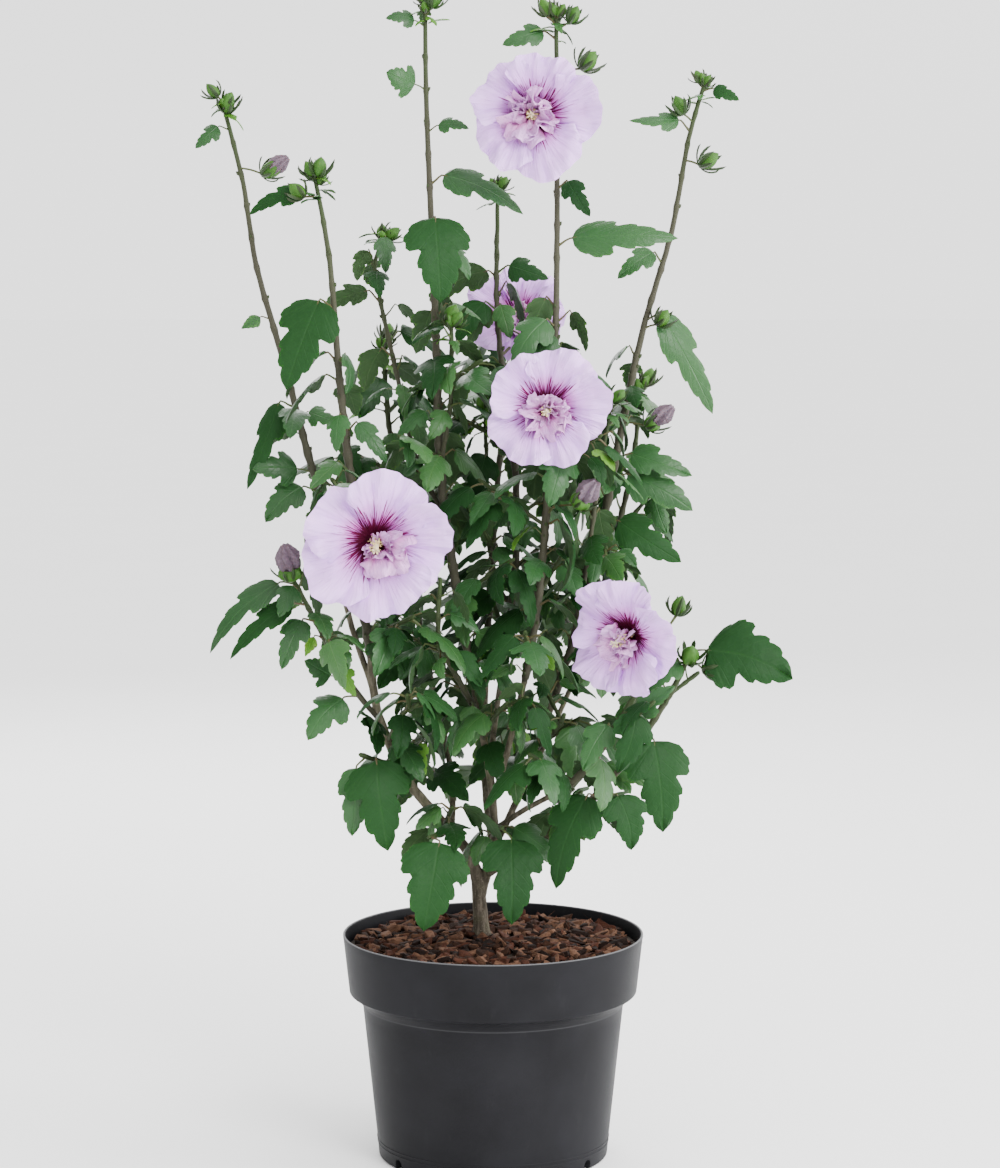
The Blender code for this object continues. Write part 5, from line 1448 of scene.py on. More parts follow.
SPENT_LENGTH = 26 * MM       # rows of BUDS from this length up are spent blooms
YOUNG_SPENT_LENGTH = 27 * MM  # under this length the calyx still holds most of a spent bloom


def bud(heap, root, middle, way, length, width, tone, bracts=7):
    """A green bud: stalk, ribbed pointed calyx and a ring of claw-like bracts."""
    foot = middle - way * 0.5 * length
    bud_stalk(heap, root, foot, way, length, 0.10, tone)
    half = 0.5 * width
    profile = [(0.0, -0.50 * length), (0.34 * half, -0.49 * length), (0.72 * half, -0.40 * length),
               (0.96 * half, -0.22 * length), (1.0 * half, -0.04 * length), (0.90 * half, 0.14 * length),
               (0.66 * half, 0.30 * length), (0.36 * half, 0.42 * length), (0.0, 0.53 * length)]
    heap.add(*lathe(profile, 20, turned_frame(middle, way), 5, 0.075), 0, tone=tone)
    claws(heap, foot + way * 0.02 * length, way, 0.30 * half, 1.15 * length, 0.18 * length + 0.9 * MM,
          bracts, tone, 3)


def spent_bloom(heap, root, middle, way, length, width, tone):
    """A spent bloom: a rolled, creased corolla that sticks out of its calyx."""
    foot = middle - way * 0.5 * length
    bud_stalk(heap, root, foot, way, length, 0.08, tone)
    half = 0.5 * width
    tall = (0.66 if length < YOUNG_SPENT_LENGTH else 0.40) * length
    cup = [(0.0, 0.0), (0.50 * half, 0.05 * tall), (0.86 * half, 0.26 * tall), (1.00 * half, 0.56 * tall),
           (0.96 * half, 0.84 * tall), (0.78 * half, tall), (0.60 * half, 0.94 * tall), (0.0, 0.70 * tall)]
    cup = [(reach, height - 0.5 * length) for reach, height in cup]
    heap.add(*lathe(cup, 20, turned_frame(middle, way), 5, 0.08), 0, tone=tone)
    roll = [(0.0, -0.24 * length), (0.50 * half, -0.22 * length), (0.76 * half, -0.04 * length),
            (0.90 * half, 0.14 * length), (0.86 * half, 0.30 * length), (0.66 * half, 0.43 * length),
            (0.48 * half, 0.52 * length), (0.34 * half, 0.60 * length), (0.0, 0.54 * length)]
    heap.add(*lathe(roll, 42, turned_frame(middle, way), 6, 0.30, 220.0), 2, tone=tone)
    claws(heap, foot + way * 0.02 * length, way, 0.32 * half, 0.75 * length, 3.6 * MM, 7, tone, 3)


CLUSTER_HEIGHT = 0.62        # shoots that end above this carry a cluster of small buds


def tip_cluster(heap, tufts, limb, draw):
    """Small buds and young leaves crowded at the end of a shoot."""
    azimuth = draw.uniform(0, math.tau)
    for _ in range(draw.choice((3, 3, 4))):
        azimuth += GOLDEN_TURN
        root, along, _ = limb.at(1.0 - draw.uniform(0.0, 9.0) * MM / limb.length)
        out = compass(azimuth)
        way = (along + out * draw.uniform(0.35, 0.95)).normalized()
        length = draw.uniform(10.0, 15.5) * MM
        bud(heap, root, root + way * (length * 0.5 + draw.uniform(2.0, 6.0) * MM), way, length,
            length * draw.uniform(0.60, 0.74), draw.uniform(0.3, 1.0), 5)
    for _ in range(draw.choice((5, 6, 7))):
        azimuth += GOLDEN_TURN
        root, _, _ = limb.at(1.0 - draw.uniform(1.0, 22.0) * MM / limb.length)
        out = compass(azimuth)
        size = draw.uniform(12.0, 22.0) * MM
        leaf = Leaf(root + (out + UP * 0.5) * 2.5 * MM, out - UP * draw.uniform(-0.5, 0.5), UP + out * 0.4,
                    size, size * draw.uniform(0.6, 0.8), draw.uniform(0.3, 1.0))
        blade(tufts, leaf, Look(draw, True), draw.choice((2, 3, 3)))


# ---------------------------------------------------------------- blooms

def shell(heap, grid, thick, finish, back, tone):
    """A closed thin sheet from rows of places, with UV across and along, and a finish for its back."""
    grid = np.asarray(grid, float)
    rows, columns, _ = grid.shape
    down = np.gradient(grid, axis=0)
    across = np.gradient(grid, axis=1)
    normal = np.cross(across, down)
    normal /= np.maximum(np.linalg.norm(normal, axis=2, keepdims=True), 1e-12)
    taper = np.ones((rows, columns, 1))
    taper[-1] = taper[:, 0] = taper[:, -1] = 0.35
    corners = np.concatenate([(grid + normal * taper * thick / 2).reshape(-1, 3),
                              (grid - normal * taper * thick / 2).reshape(-1, 3)])
    v, u = np.meshgrid(np.linspace(0, 1, rows), np.linspace(0, 1, columns), indexing="ij")
    places = np.tile(np.stack([u.ravel(), v.ravel()], axis=1), (2, 1))
    low = rows * columns
    faces = []
    for row in range(rows - 1):
        for column in range(columns - 1):
            a = row * columns + column
            b, c, d = a + 1, a + columns + 1, a + columns
            faces += [(a, b, c, d), (low + d, low + c, low + b, low + a)]
    finishes = [back, finish] * (len(faces) // 2)
    rims = [(row * columns + column, columns, column > 0)
            for row in range(rows - 1) for column in (0, columns - 1)]
    rims += [(row * columns + column, 1, row == 0) for column in range(columns - 1) for row in (0, rows - 1)]
    for a, step, flip in rims:
        rim = (a, a + step, low + a + step, low + a)
        faces.append(rim[::-1] if flip else rim)
    finishes += [finish] * (len(faces) - len(finishes))
    heap.add(corners, faces, finishes, places, tone)


PETAL_ROWS, PETAL_COLUMNS = 24, 33


def broad_petal(place, radius, turn, draw):
    """Rows of places of one of the five broad petals, ruffled and notched towards its edge."""
    phase, pitch, sway = draw.uniform(0, math.tau), draw.uniform(1.1, 1.9), draw.uniform(-0.12, 0.12)
    ruff, length = draw.uniform(0.075, 0.125), draw.uniform(0.88, 1.05)
    second, third = draw.uniform(0, math.tau), draw.uniform(0, math.tau)
    lean = draw.uniform(-0.05, 0.04)
    grid = []
    for row in range(PETAL_ROWS):
        s = row / (PETAL_ROWS - 1)
        half = math.radians(40 + 12 * min(1.0, 1.35 * s))
        line = []
        for column in range(PETAL_COLUMNS):
            t = 2 * column / (PETAL_COLUMNS - 1) - 1
            angle = turn + sway * s + t * half
            frill = (0.040 * math.sin(3.4 * t + phase) + 0.022 * math.sin(9.0 * t + second)
                     + 0.013 * math.sin(23 * t + third))
            edge = 1.0 - 0.30 * abs(t) ** 2.6 * s * s + frill * s ** 4
            reach = radius * (0.05 + 0.95 * s) * length * edge
            wave = (math.sin(math.pi * pitch * t + phase) + 0.5 * math.sin(math.pi * 2.7 * pitch * t + second)
                    + 0.35 * s * s * math.sin(math.pi * 5.6 * pitch * t + third))
            crease = (0.018 * math.sin(31 * t + 3 * math.sin(4 * s + phase)) * s * (1.2 - s)
                      + 0.120 * noise.noise(Vector((2.9 * t + phase, 2.2 * s, turn))) * s
                      + 0.050 * noise.noise(Vector((8.5 * t + second, 5.0 * s, turn))) * s * s)
            lift = (-0.34 * (1 - s) ** 1.7 + 0.125 * t * s + ruff * wave * s ** 2.4 + crease
                    - 0.06 * s ** 4 + lean * s * s + 0.014 * math.sin(13 * s + 3 * t + phase) * s)
            line.append(place @ Vector((reach * math.cos(angle), reach * math.sin(angle), radius * lift)))
        grid.append(line)
    return grid


def inner_petal(place, radius, turn, size, lean, draw):
    """Rows of places of one small petal of the ruff: narrow foot, then a crumpled, folded blade."""
    length = radius * size
    width = length * draw.uniform(0.76, 1.10)
    curl = draw.uniform(-0.9, 1.3)
    twist = draw.uniform(-0.9, 0.9)
    fold = draw.uniform(0.20, 0.60)
    phase = draw.uniform(0, math.tau)
    out = compass(turn)
    side = UP.cross(out)
    middle = out * 0.05 * radius + UP * radius * draw.uniform(-0.27, -0.14)
    grid = []
    rows, columns = 12, 13
    for row in range(rows):
        s = row / (rows - 1)
        angle = lean + curl * s * s
        ahead = out * math.sin(angle) + UP * math.cos(angle)
        if row:
            middle = middle + ahead * length / (rows - 1)
        rise = side.cross(ahead)
        roll = twist * s
        across = side * math.cos(roll) + rise * math.sin(roll)
        half = 0.5 * width * (0.20 + 0.80 * math.sin(math.pi * min(1.0, 0.08 + 0.70 * s)))
        line = []
        for column in range(columns):
            t = 2 * column / (columns - 1) - 1
            crumple = noise.noise(Vector((3.0 * t + phase, 3.6 * s, size))) * (0.12 + 0.32 * s)
            wave = 0.11 * math.sin(5.0 * t + phase) * s * s + fold * t * t * (1 - 0.4 * s) + 0.5 * crumple
            back = (0.20 * t * t + 0.035 * math.sin(7 * t + phase)) * length * s * s
            line.append(place @ (middle - ahead * back + across * t * half + rise * wave * width))
        grid.append(line)
    return grid


# The small petals amid a bloom: degrees from straight down to their long side, how one-sided they are.
RUFFS = {
    "bloom_left": (48, 0.85), "bloom_top": (-40, 0.20), "bloom_middle": (12, 0.38), "bloom_right": (-35, 0.70),
}
OUTER_RUFF, INNER_RUFF = 13, 7


def ruff(heap, name, place, radius, draw):
    """The small petals amid a bloom: a ring that spreads and, inside it, one that stands up."""
    heading, one_sided = RUFFS.get(name, (0, 0.5))
    fall = place.to_3x3().inverted() @ -UP
    below = math.atan2(fall.y, fall.x) + math.radians(heading)
    shift = 0.09 * one_sided * radius
    centre = place @ Matrix.Translation((shift * math.cos(below), shift * math.sin(below), 0.0))
    for count, longest, upright in ((OUTER_RUFF, 0.48, 52), (INNER_RUFF, 0.30, 20)):
        for index in range(count):
            off = math.pi * (2 * index / count - 1) + draw.uniform(-0.2, 0.2)
            near = 0.5 + 0.5 * math.cos(off)
            size = longest * (1.0 - one_sided * (1.0 - near) * 0.80) + draw.uniform(-0.06, 0.05)
            lean = math.radians(upright * (0.35 + 0.65 * near) + draw.uniform(-14, 14))
            shell(heap, inner_petal(centre, radius, below + off, max(0.12, size), lean, draw), 0.45 * MM, 1, 1,
                  draw.random())


def bloom(name, heap, stalk, place, radius, seed):
    """One bloom on its stalk: calyx, bracts, five petals and the small ones amid them."""
    draw = random.Random(seed)
    for index in range(5):
        shell(heap, broad_petal(place, radius, math.tau * index / 5 + draw.uniform(-0.06, 0.06), draw),
              0.5 * MM, 0, 5, draw.random())
    ruff(heap, name, place, radius, draw)
    back = place @ Matrix.Translation((0, 0, -0.58 * radius))
    cup = [(0.0, 0.0), (2.4 * MM, 0.01 * radius), (4.6 * MM, 0.06 * radius), (0.115 * radius, 0.13 * radius),
           (0.130 * radius, 0.19 * radius), (0.115 * radius, 0.205 * radius), (0.08 * radius, 0.19 * radius),
           (0.0, 0.18 * radius)]
    heap.add(*lathe(cup, 20, back, 5, 0.06), 2, tone=0.5)
    for index in range(5):
        turn = math.tau * (index + 0.5) / 5
        ring = back @ Matrix.Rotation(turn, 4, "Z") @ Matrix.Translation((0.110 * radius, 0.0, 0.14 * radius))
        heap.add(*claw(ring, 0.20 * radius, 0.16 * radius, 0.35, 0.95), 2, tone=0.3)
    claws(heap, back @ Vector((0, 0, 0.02 * radius)), (back.to_3x3() @ UP).normalized(), 2.6 * MM,
          0.22 * radius, 2.2 * MM, 7, 0.35, 2)
    path = smooth_path(stalk.path, 3 * MM)
    radii = [(1.35 + 0.35 * (step / (len(path) - 1)) ** 3) * MM for step in range(len(path))]
    heap.add(*round_tube(path, radii, 8), 3, tone=0.6)


def column_path(place, radius):
    """The curved column of stamens, from the throat to its tip."""
    return [place @ Vector((0.015 * radius * math.sin(3 * share), -0.05 * radius * share * share,
                            radius * (-0.36 + 0.45 * share)))
            for share in np.linspace(0, 1, 14)]


def geometry_tree(name, output, **inputs):
    """A Geometry Nodes tree and the outputs that carry what it is given."""
    tree = bpy.data.node_groups.new(name, "GeometryNodeTree")
    for label, kind in inputs.items():
        tree.interface.new_socket(label.replace("_", " "), in_out="INPUT", socket_type="NodeSocket" + kind)
    tree.interface.new_socket(output, in_out="OUTPUT", socket_type="NodeSocketGeometry")
    return tree, tree.nodes.new("NodeGroupInput").outputs


def random_between(tree, kind, low, high, seed=None):
    """A random value of a kind between two limits."""
    made = node(tree, "FunctionNodeRandomValue", low, high, None, seed, data_type=kind)
    return [socket for socket in made.outputs if socket.enabled][0]


def end_tree(tree, placed, finish):
    """Makes real meshes of the instances, gives them their finish and sends them out."""
    real = node(tree, "GeometryNodeRealizeInstances", placed.outputs[0])
    finished = node(tree, "GeometryNodeSetMaterial", real.outputs[0], None, finish)
    node(tree, "NodeGroupOutput", finished.outputs[0])
    return tree


def anther_tree():
    """Geometry Nodes: pollen heads on fine stalks, spread over the column."""
    tree, given = geometry_tree("anthers_on_column", "Anthers", Column="Geometry", Density="Float",
                                Stalk_length="Float", Head_size="Float", Seed="Int", Finish="Material")
    points = node_fed(tree, "GeometryNodeDistributePointsOnFaces", {
        "Mesh": given["Column"], "Density": given["Density"], "Seed": given["Seed"]})
    stalk = node_fed(tree, "GeometryNodeMeshCone", {
        "Vertices": 3, "Radius Top": 0.12 * MM, "Radius Bottom": 0.2 * MM, "Depth": given["Stalk length"]})
    head = node_fed(tree, "GeometryNodeMeshIcoSphere", {"Subdivisions": 1, "Radius": given["Head size"]})
    lift = node(tree, "ShaderNodeCombineXYZ", None, None, given["Stalk length"])
    lifted = node_fed(tree, "GeometryNodeTransform", {
        "Geometry": head.outputs["Mesh"], "Translation": lift.outputs[0], "Scale": (1.25, 0.8, 0.8)})
    both = node(tree, "GeometryNodeJoinGeometry")
    for part in (lifted.outputs[0], stalk.outputs["Mesh"]):
        tree.links.new(part, both.inputs[0])
    placed = node_fed(tree, "GeometryNodeInstanceOnPoints", {
        "Points": points.outputs["Points"], "Instance": both.outputs[0], "Rotation": points.outputs["Rotation"],
        "Scale": random_between(tree, "FLOAT", 0.75, 1.25)})
    return end_tree(tree, placed, given["Finish"])


def run_tree(tree, mesh, **given):
    """The plain mesh that a Geometry Nodes tree makes from a mesh."""
    item = linked("carrier", mesh)
    maker = item.modifiers.new("maker", "NODES")
    maker.node_group = tree
    for socket in tree.interface.items_tree:
        name = socket.name.replace(" ", "_").lower()
        if socket.in_out == "INPUT" and name in given:
            maker[socket.identifier] = given[name]
    return plain_mesh(item)


# ---------------------------------------------------------------- pot, compost and bark mulch

def arc(centre, radius, start, stop, count=4):
    """Points of an arc in the (radius, height) plane, angles in degrees."""
    cx, cz = centre
    return [(cx + radius * math.cos(math.radians(start + (stop - start) * i / count)),
             cz + radius * math.sin(math.radians(start + (stop - start) * i / count))) for i in range(count + 1)]


def between(start, stop, first, last, count):
    """Points of a line in the (radius, height) plane, from a first to a last share of it."""
    return [(start[0] + (stop[0] - start[0]) * share, start[1] + (stop[1] - start[1]) * share)
            for share in np.linspace(first, last, count)]


def inner_profile(clear):
    """The pot's inner face from the floor's middle to under the rim, moved in by a clearance."""
    top = POT_HEIGHT - BAND_DEPTH
    return [
        (0.0, FLOOR + clear),
        (PAD_RADIUS - WALL - clear, FLOOR + clear),
        (PAD_RADIUS + 2 * WALL - clear, CHANNEL_HEIGHT + FLOOR + clear),
        (FOOT_RADIUS - 3 * WALL - clear, CHANNEL_HEIGHT + FLOOR + clear),
        (FOOT_RADIUS - WALL - clear, CHANNEL_HEIGHT + 4 * FLOOR),
        (WALL_TOP_RADIUS - WALL - clear, top - BAND_STEP),
        (BAND_FOOT_RADIUS - WALL - clear, top + RIM_EDGE),
    ]


def pot_profile():
    """The pot's section, from the middle of its floor up the inside, over the rim and down to its pad."""
    top = POT_HEIGHT - BAND_DEPTH
    wall_low, wall_high = 2 * WALL, top - BAND_STEP
    outside = arc((RIM_RADIUS - RIM_EDGE, POT_HEIGHT - RIM_EDGE), RIM_EDGE, 150, -5, 6)
    outside += between((RIM_RADIUS, POT_HEIGHT), (BAND_FOOT_RADIUS, top), 0.15, 0.9, 6)
    outside += arc((BAND_FOOT_RADIUS - 1.6 * MM, top + 0.6 * MM), 1.6 * MM, 0, -75, 4)
    outside += [(BAND_FOOT_RADIUS - 3.5 * MM, top - 2.4 * MM), (WALL_TOP_RADIUS + 3 * MM, wall_high + 4.0 * MM),
                (WALL_TOP_RADIUS + 0.8 * MM, wall_high + 1.4 * MM)]
    outside += between((WALL_TOP_RADIUS, wall_high), (FOOT_RADIUS, wall_low), 0.0, 0.86, 14)
    for height in (15.5 * MM, 12.0 * MM):          # two faint mould steps over the foot
        reach = FOOT_RADIUS + (WALL_TOP_RADIUS - FOOT_RADIUS) * (height - wall_low) / (wall_high - wall_low)
        outside += [(reach + 0.05 * MM, height + 0.5 * MM), (reach + 0.45 * MM, height),
                    (reach, height - 0.7 * MM)]
    outside += arc((FOOT_RADIUS - 2.0 * MM, 2.0 * MM), 2.0 * MM, 0, -90, 5)
    outside += [
        (FOOT_RADIUS - 3 * WALL, 0.0),
        (FOOT_RADIUS - 3.3 * WALL, 0.5 * MM),
        (FOOT_RADIUS - 4 * WALL, CHANNEL_HEIGHT),
        (PAD_RADIUS + 2 * WALL, CHANNEL_HEIGHT),
        (PAD_RADIUS + 0.3 * WALL, 0.5 * MM),
        (PAD_RADIUS, 0.0),
        (0.0, 0.0),
    ]
    inside = inner_profile(0.0)
    rim = between((BAND_FOOT_RADIUS - WALL, top + RIM_EDGE), (RIM_RADIUS - WALL, POT_HEIGHT), 0.1, 0.96, 8)
    return inside + rim + outside


def notch_cutter(angle):
    """A drain notch: an upright slot with a round top, through the foot ring."""
    half = NOTCH_WIDTH / 2
    outline = [(-half, -5 * MM), (half, -5 * MM)]
    outline += arc((0.0, NOTCH_HEIGHT - half), half, 0, 180, 10)
    turn = Matrix.Rotation(math.radians(angle), 4, "Z")
    near, far = -(FOOT_RADIUS + 5 * MM), -(FOOT_RADIUS - 6.5 * WALL)
    count = len(outline)
    corners = [turn @ Vector((x, y, z)) for y in (near, far) for x, z in outline]
    faces = [tuple(range(count)), tuple(reversed(range(count, 2 * count)))]
    faces += [(i, i + count, (i + 1) % count + count, (i + 1) % count) for i in range(count)]
    return outward_item("notch", corners, faces)


def make_pot():
    """The pot as a fine turned shell with four drain notches cut through its foot."""
    item = outward_item("pot", *lathe(pot_profile(), 128, Matrix.Identity(4)))
    cutters = [notch_cutter(angle) for angle in NOTCH_ANGLES]
    for cutter in cutters:
        cut = item.modifiers.new("notch", "BOOLEAN")
        cut.operation = "DIFFERENCE"
        cut.solver = "EXACT"
        cut.object = cutter
    mesh = plain_mesh(item)
    for cutter in cutters:
        bpy.data.objects.remove(cutter, do_unlink=True)
    mesh.materials.clear()
    mesh.materials.append(POT_FINISH)
    return dress_object("pot_shell", mesh, ["pot"], 32)


def mulch_reach():
    """The mulch's radius at the wall of the pot."""
    edge = POT_HEIGHT - MULCH_EDGE_DROP
    band_reach, band_low = inner_profile(GAP)[-1]
    slope = (RIM_RADIUS - BAND_FOOT_RADIUS - RIM_EDGE) / (POT_HEIGHT - band_low)
    return band_reach + slope * (edge - band_low)


def mulch_height(reach):
    """Height of the mulch's crowned top at a distance from the middle."""
    edge = POT_HEIGHT - MULCH_EDGE_DROP
    share = min(1.0, reach / mulch_reach())
    return edge + MULCH_CROWN * max(0.0, 1.0 - share ** 1.6)


def make_mulch_bed():
    """The fine dark bed under the chips: a bumpy closed disc."""
    reach = mulch_reach() - 0.3 * MM
    under = POT_HEIGHT - MULCH_EDGE_DROP - 14 * MM
    profile = [(0.0, mulch_height(0) - 4 * MM)]
    profile += [(reach * share, mulch_height(reach * share) - 4 * MM) for share in np.linspace(0.04, 1.0, 26)]
    profile += [(reach - 0.8 * MM, under), (0.0, under)]
    corners, faces = lathe(profile, 96, Matrix.Identity(4))
    for corner in corners:
        if corner.z > under + MM and corner.xy.length < reach - 2 * MM:
            corner.z += 1.8 * MM * noise.fractal(corner * 90.0, 0.9, 2.0, 4)
    heap = Heap()
    heap.add(corners, [face[::-1] for face in faces])
    return heap.make("mulch_bed", [COMPOST_FINISH], "bark_mulch", ["bark_mulch"])


def chip_shapes(seed):
    """A few bark chips of different proportions, each the hull of a handful of points."""
    draw = random.Random(seed)
    group = bpy.data.collections.new("chip_shapes")
    bpy.context.scene.collection.children.link(group)
    for _ in range(CHIP_SHAPES):
        length, width = draw.uniform(0.8, 1.25), draw.uniform(0.42, 0.75)
        thick = draw.uniform(0.26, 0.50)
        shape = bmesh.new()
        for _ in range(CHIP_POINTS):
            x, y, z = (draw.uniform(-1, 1) for _ in range(3))
            shape.verts.new((0.5 * length * math.copysign(abs(x) ** 0.45, x),
                             0.5 * width * math.copysign(abs(y) ** 0.5, y),
                             0.5 * thick * math.copysign(abs(z) ** 0.4, z)))
        hull = bmesh.ops.convex_hull(shape, input=shape.verts)
        inner = {item for item in hull["geom_interior"] + hull["geom_unused"]
                 if isinstance(item, bmesh.types.BMVert)}
        bmesh.ops.delete(shape, geom=list(inner), context="VERTS")
        bmesh.ops.bevel(shape, geom=shape.edges[:], offset=0.025, segments=1, affect="EDGES")
        group.objects.link(bpy.data.objects.new("chip", mesh_of_shape("chip", shape)))
    return group


def chip_tree():
    """Geometry Nodes: chips of a few shapes strewn over a surface, turned every way."""
    tree, given = geometry_tree("strewn_chips", "Strewn", Bed="Geometry", Chips="Collection", Spacing="Float",
                                Density="Float", Smallest="Float", Largest="Float", Tilt="Float", Seed="Int",
                                Finish="Material")
    points = node_fed(tree, "GeometryNodeDistributePointsOnFaces", {
        "Mesh": given["Bed"], "Distance Min": given["Spacing"], "Density Max": given["Density"],
        "Seed": given["Seed"]}, distribute_method="POISSON")
    chips = node_fed(tree, "GeometryNodeCollectionInfo", {
        "Collection": given["Chips"], "Separate Children": True, "Reset Children": True})
    tilt = node(tree, "ShaderNodeCombineXYZ", given["Tilt"], given["Tilt"], math.pi).outputs[0]
    back = node_fed(tree, "ShaderNodeVectorMath", {"Scale": -1.0}, operation="SCALE")
    tree.links.new(tilt, back.inputs[0])
    placed = node_fed(tree, "GeometryNodeInstanceOnPoints", {
        "Points": points.outputs["Points"], "Instance": chips.outputs[0], "Pick Instance": True,
        "Rotation": random_between(tree, "FLOAT_VECTOR", back.outputs[0], tilt, given["Seed"]),
        "Scale": random_between(tree, "FLOAT", given["Smallest"], given["Largest"], given["Seed"])})
    return end_tree(tree, placed, given["Finish"])


def chip_bed():
    """The surface the chips are strewn on: the mulch's top, short of the wall."""
    reach = mulch_reach() - 8.5 * MM
    profile = [(0.0, mulch_height(0) - MM)]
    profile += [(reach * share, mulch_height(reach * share) - MM) for share in np.linspace(0.08, 1.0, 14)]
    corners, faces = lathe(profile, 48, Matrix.Identity(4))
    return mesh_of("chip_bed", corners, [face[::-1] for face in faces])


CHIP_SEED = 5
CHIP_SHAPES, CHIP_POINTS = 9, 13     # how many shapes there are, and the points whose hull each one is


def make_chips():
    """Four colours of bark chips over the bed."""
    shapes, tree = chip_shapes(CHIP_SEED), chip_tree()
    for name, finish, seed in CHIP_FINISHES:
        mesh = run_tree(tree, chip_bed(), chips=shapes, spacing=8.5 * MM, density=8000.0, smallest=11 * MM,
                        largest=19 * MM, tilt=0.5, seed=seed, finish=finish)
        dress_object(name, mesh, ["bark_mulch"], 30)
    for item in list(shapes.objects):
        bpy.data.objects.remove(item, do_unlink=True)
    bpy.data.collections.remove(shapes)


# ---------------------------------------------------------------- the whole plant

def build_limbs():
    """Trunk and boughs by name."""
    limbs = {"trunk": Limb("trunk", [TRUNK_FOOT] + millimetres(TRUNK_PATH), TRUNK_RADII)}
    limbs["trunk"].carrier_share = 0.0
    for name, carrier, share, points, root, tip in BOUGHS:
        limbs[name] = grow_limb(name, limbs[carrier], share, points, root, tip)
        limbs[name].carrier_share = share
    return limbs


def start_masses(limbs, crown):
    """The stems of the leafy masses and their side shoots, with their sleeves in the crown."""
    masses = {}
    for name, carrier, share, points, root, tip in MASSES:
        stem = grow_limb(name, limbs[carrier], share, points, root, tip)
        masses[name] = Mass(name, stem)
        crown.add_sleeve(stem)
    for name, height, points, root, tip in SIDE_SHOOTS:
        mass = masses[name]
        share = mass.stem.share_at_height(height * MM)
        side = grow_limb(name, mass.stem, min(share, 0.99), points, root, tip)
        mass.shoots.append(side)
        crown.add_sleeve(side)
    return masses


def start_blooms(masses, crown):
    """Each bloom's stalk and frame.  Its CAD solid keeps its space clear."""
    blooms = []
    for name, carrier, height, centre, look, radius in BLOOMS:
        stem = masses[carrier].stem
        axis, _, _ = stem.at_height(height * MM)
        masses[carrier].stalk_roots.append(axis)
        place = Matrix.Translation(Vector(centre) * MM) @ facing(Vector(look).normalized())
        reach = radius * MM
        back = place @ Vector((0.0, 0.0, -0.50 * reach))
        behind = place @ Vector((0.0, 0.0, -0.56 * reach - 12 * MM))
        stalk = Limb(name, smooth_path([axis, behind, back], 25 * MM), STALK_RADII)
        crown.add(*corners_and_faces(frame["nodes"][name].data))
        blooms.append((name, stalk, place, reach))
    return blooms


def egg(middle, way, length, width):
    """Corners and faces of a plain egg along a direction."""
    shape = bmesh.new()
    bmesh.ops.create_uvsphere(shape, u_segments=6, v_segments=3, radius=0.5)
    size = Matrix.Diagonal((width, width, length, 1.0))
    bmesh.ops.transform(shape, matrix=Matrix.Translation(middle) @ facing(way) @ size, verts=shape.verts)
    return taken_apart(mesh_of_shape("egg", shape))


def start_buds(masses, crown):
    """Where each bud or spent bloom stands: root, middle, direction, length and width."""
    buds = []
    for name, height, reach, length, width in BUDS:
        stem = masses[name].stem
        axis, _, _ = stem.at_height(height * MM)
        reach = Vector(reach) * MM
        middle = axis + reach
        way = (reach.normalized() + UP * 0.6).normalized()
        crown.add(*egg(middle, way, length * MM, width * MM))
        crown.add(*rod(axis - way * 0.2 * MM, middle - way * length * 0.2 * MM, 0.9 * MM, 0.9 * MM))
        buds.append((axis, middle, way, length * MM, width * MM))
    return buds


def grow_plant(limbs):
    """Runs the rule: masses with their leaves and twigs, blooms and buds."""
    crown = Crown()
    for name in limbs:
        crown.add(*corners_and_faces(frame["nodes"][name].data))
    masses = start_masses(limbs, crown)
    blooms = start_blooms(masses, crown)
    buds = start_buds(masses, crown)
    for row in SHOWY_LEAVES:
        showy_leaf(masses, crown, row)
    for mass in masses.values():
        dress(mass, crown)
    for mass in masses.values():
        fill_in(mass, crown)
    return masses, blooms, buds


# Leaves are gathered in three pieces, each up to a height.
LEAF_BANDS = (("leaves_low", 0.42), ("leaves_middle", 0.62), ("leaves_high", math.inf))
GREEN_EDGES = (0.40, 0.84, 1.13)       # where the pick of a green passes from one leaf finish to the next
PAINTED_LIGHT_BAND = (0.36, 0.50)             # between these heights lobed leaves are dealt brighter greens, as painted light and sheen
LEAF_SEED, BUD_SEED, BLOOM_SEED, ANTHER_SEED = 77, 9, 40, 3
SHARP_FOLIAGE = 60                     # degrees between faces from which an edge stays sharp


def pick_green(draw, leaf):
    """The number of a leaf's finish: young leaves are brighter, high ones a little brighter as painted light, and
    lobed ones mostly deeper as painted shade, but brighter in a band of heights as painted light and sheen.
    """
    height = leaf.base.z
    # Young leaves are brighter by nature; leaves above 0.6 m are dealt slightly brighter greens as painted light.
    pick = draw.random() + (0.22 if leaf.length < YOUNG_LENGTH else 0.0) + 0.03 * (height > 0.6)
    # Painted shade and light: lobed leaves get deeper greens, which shade the low ones, and brighter greens
    # between the band's heights.
    if leaf.outline is LOBED_OUTLINE:
        pick *= 1.1 if PAINTED_LIGHT_BAND[0] < height < PAINTED_LIGHT_BAND[1] else 0.66
    return sum(pick >= edge for edge in GREEN_EDGES)


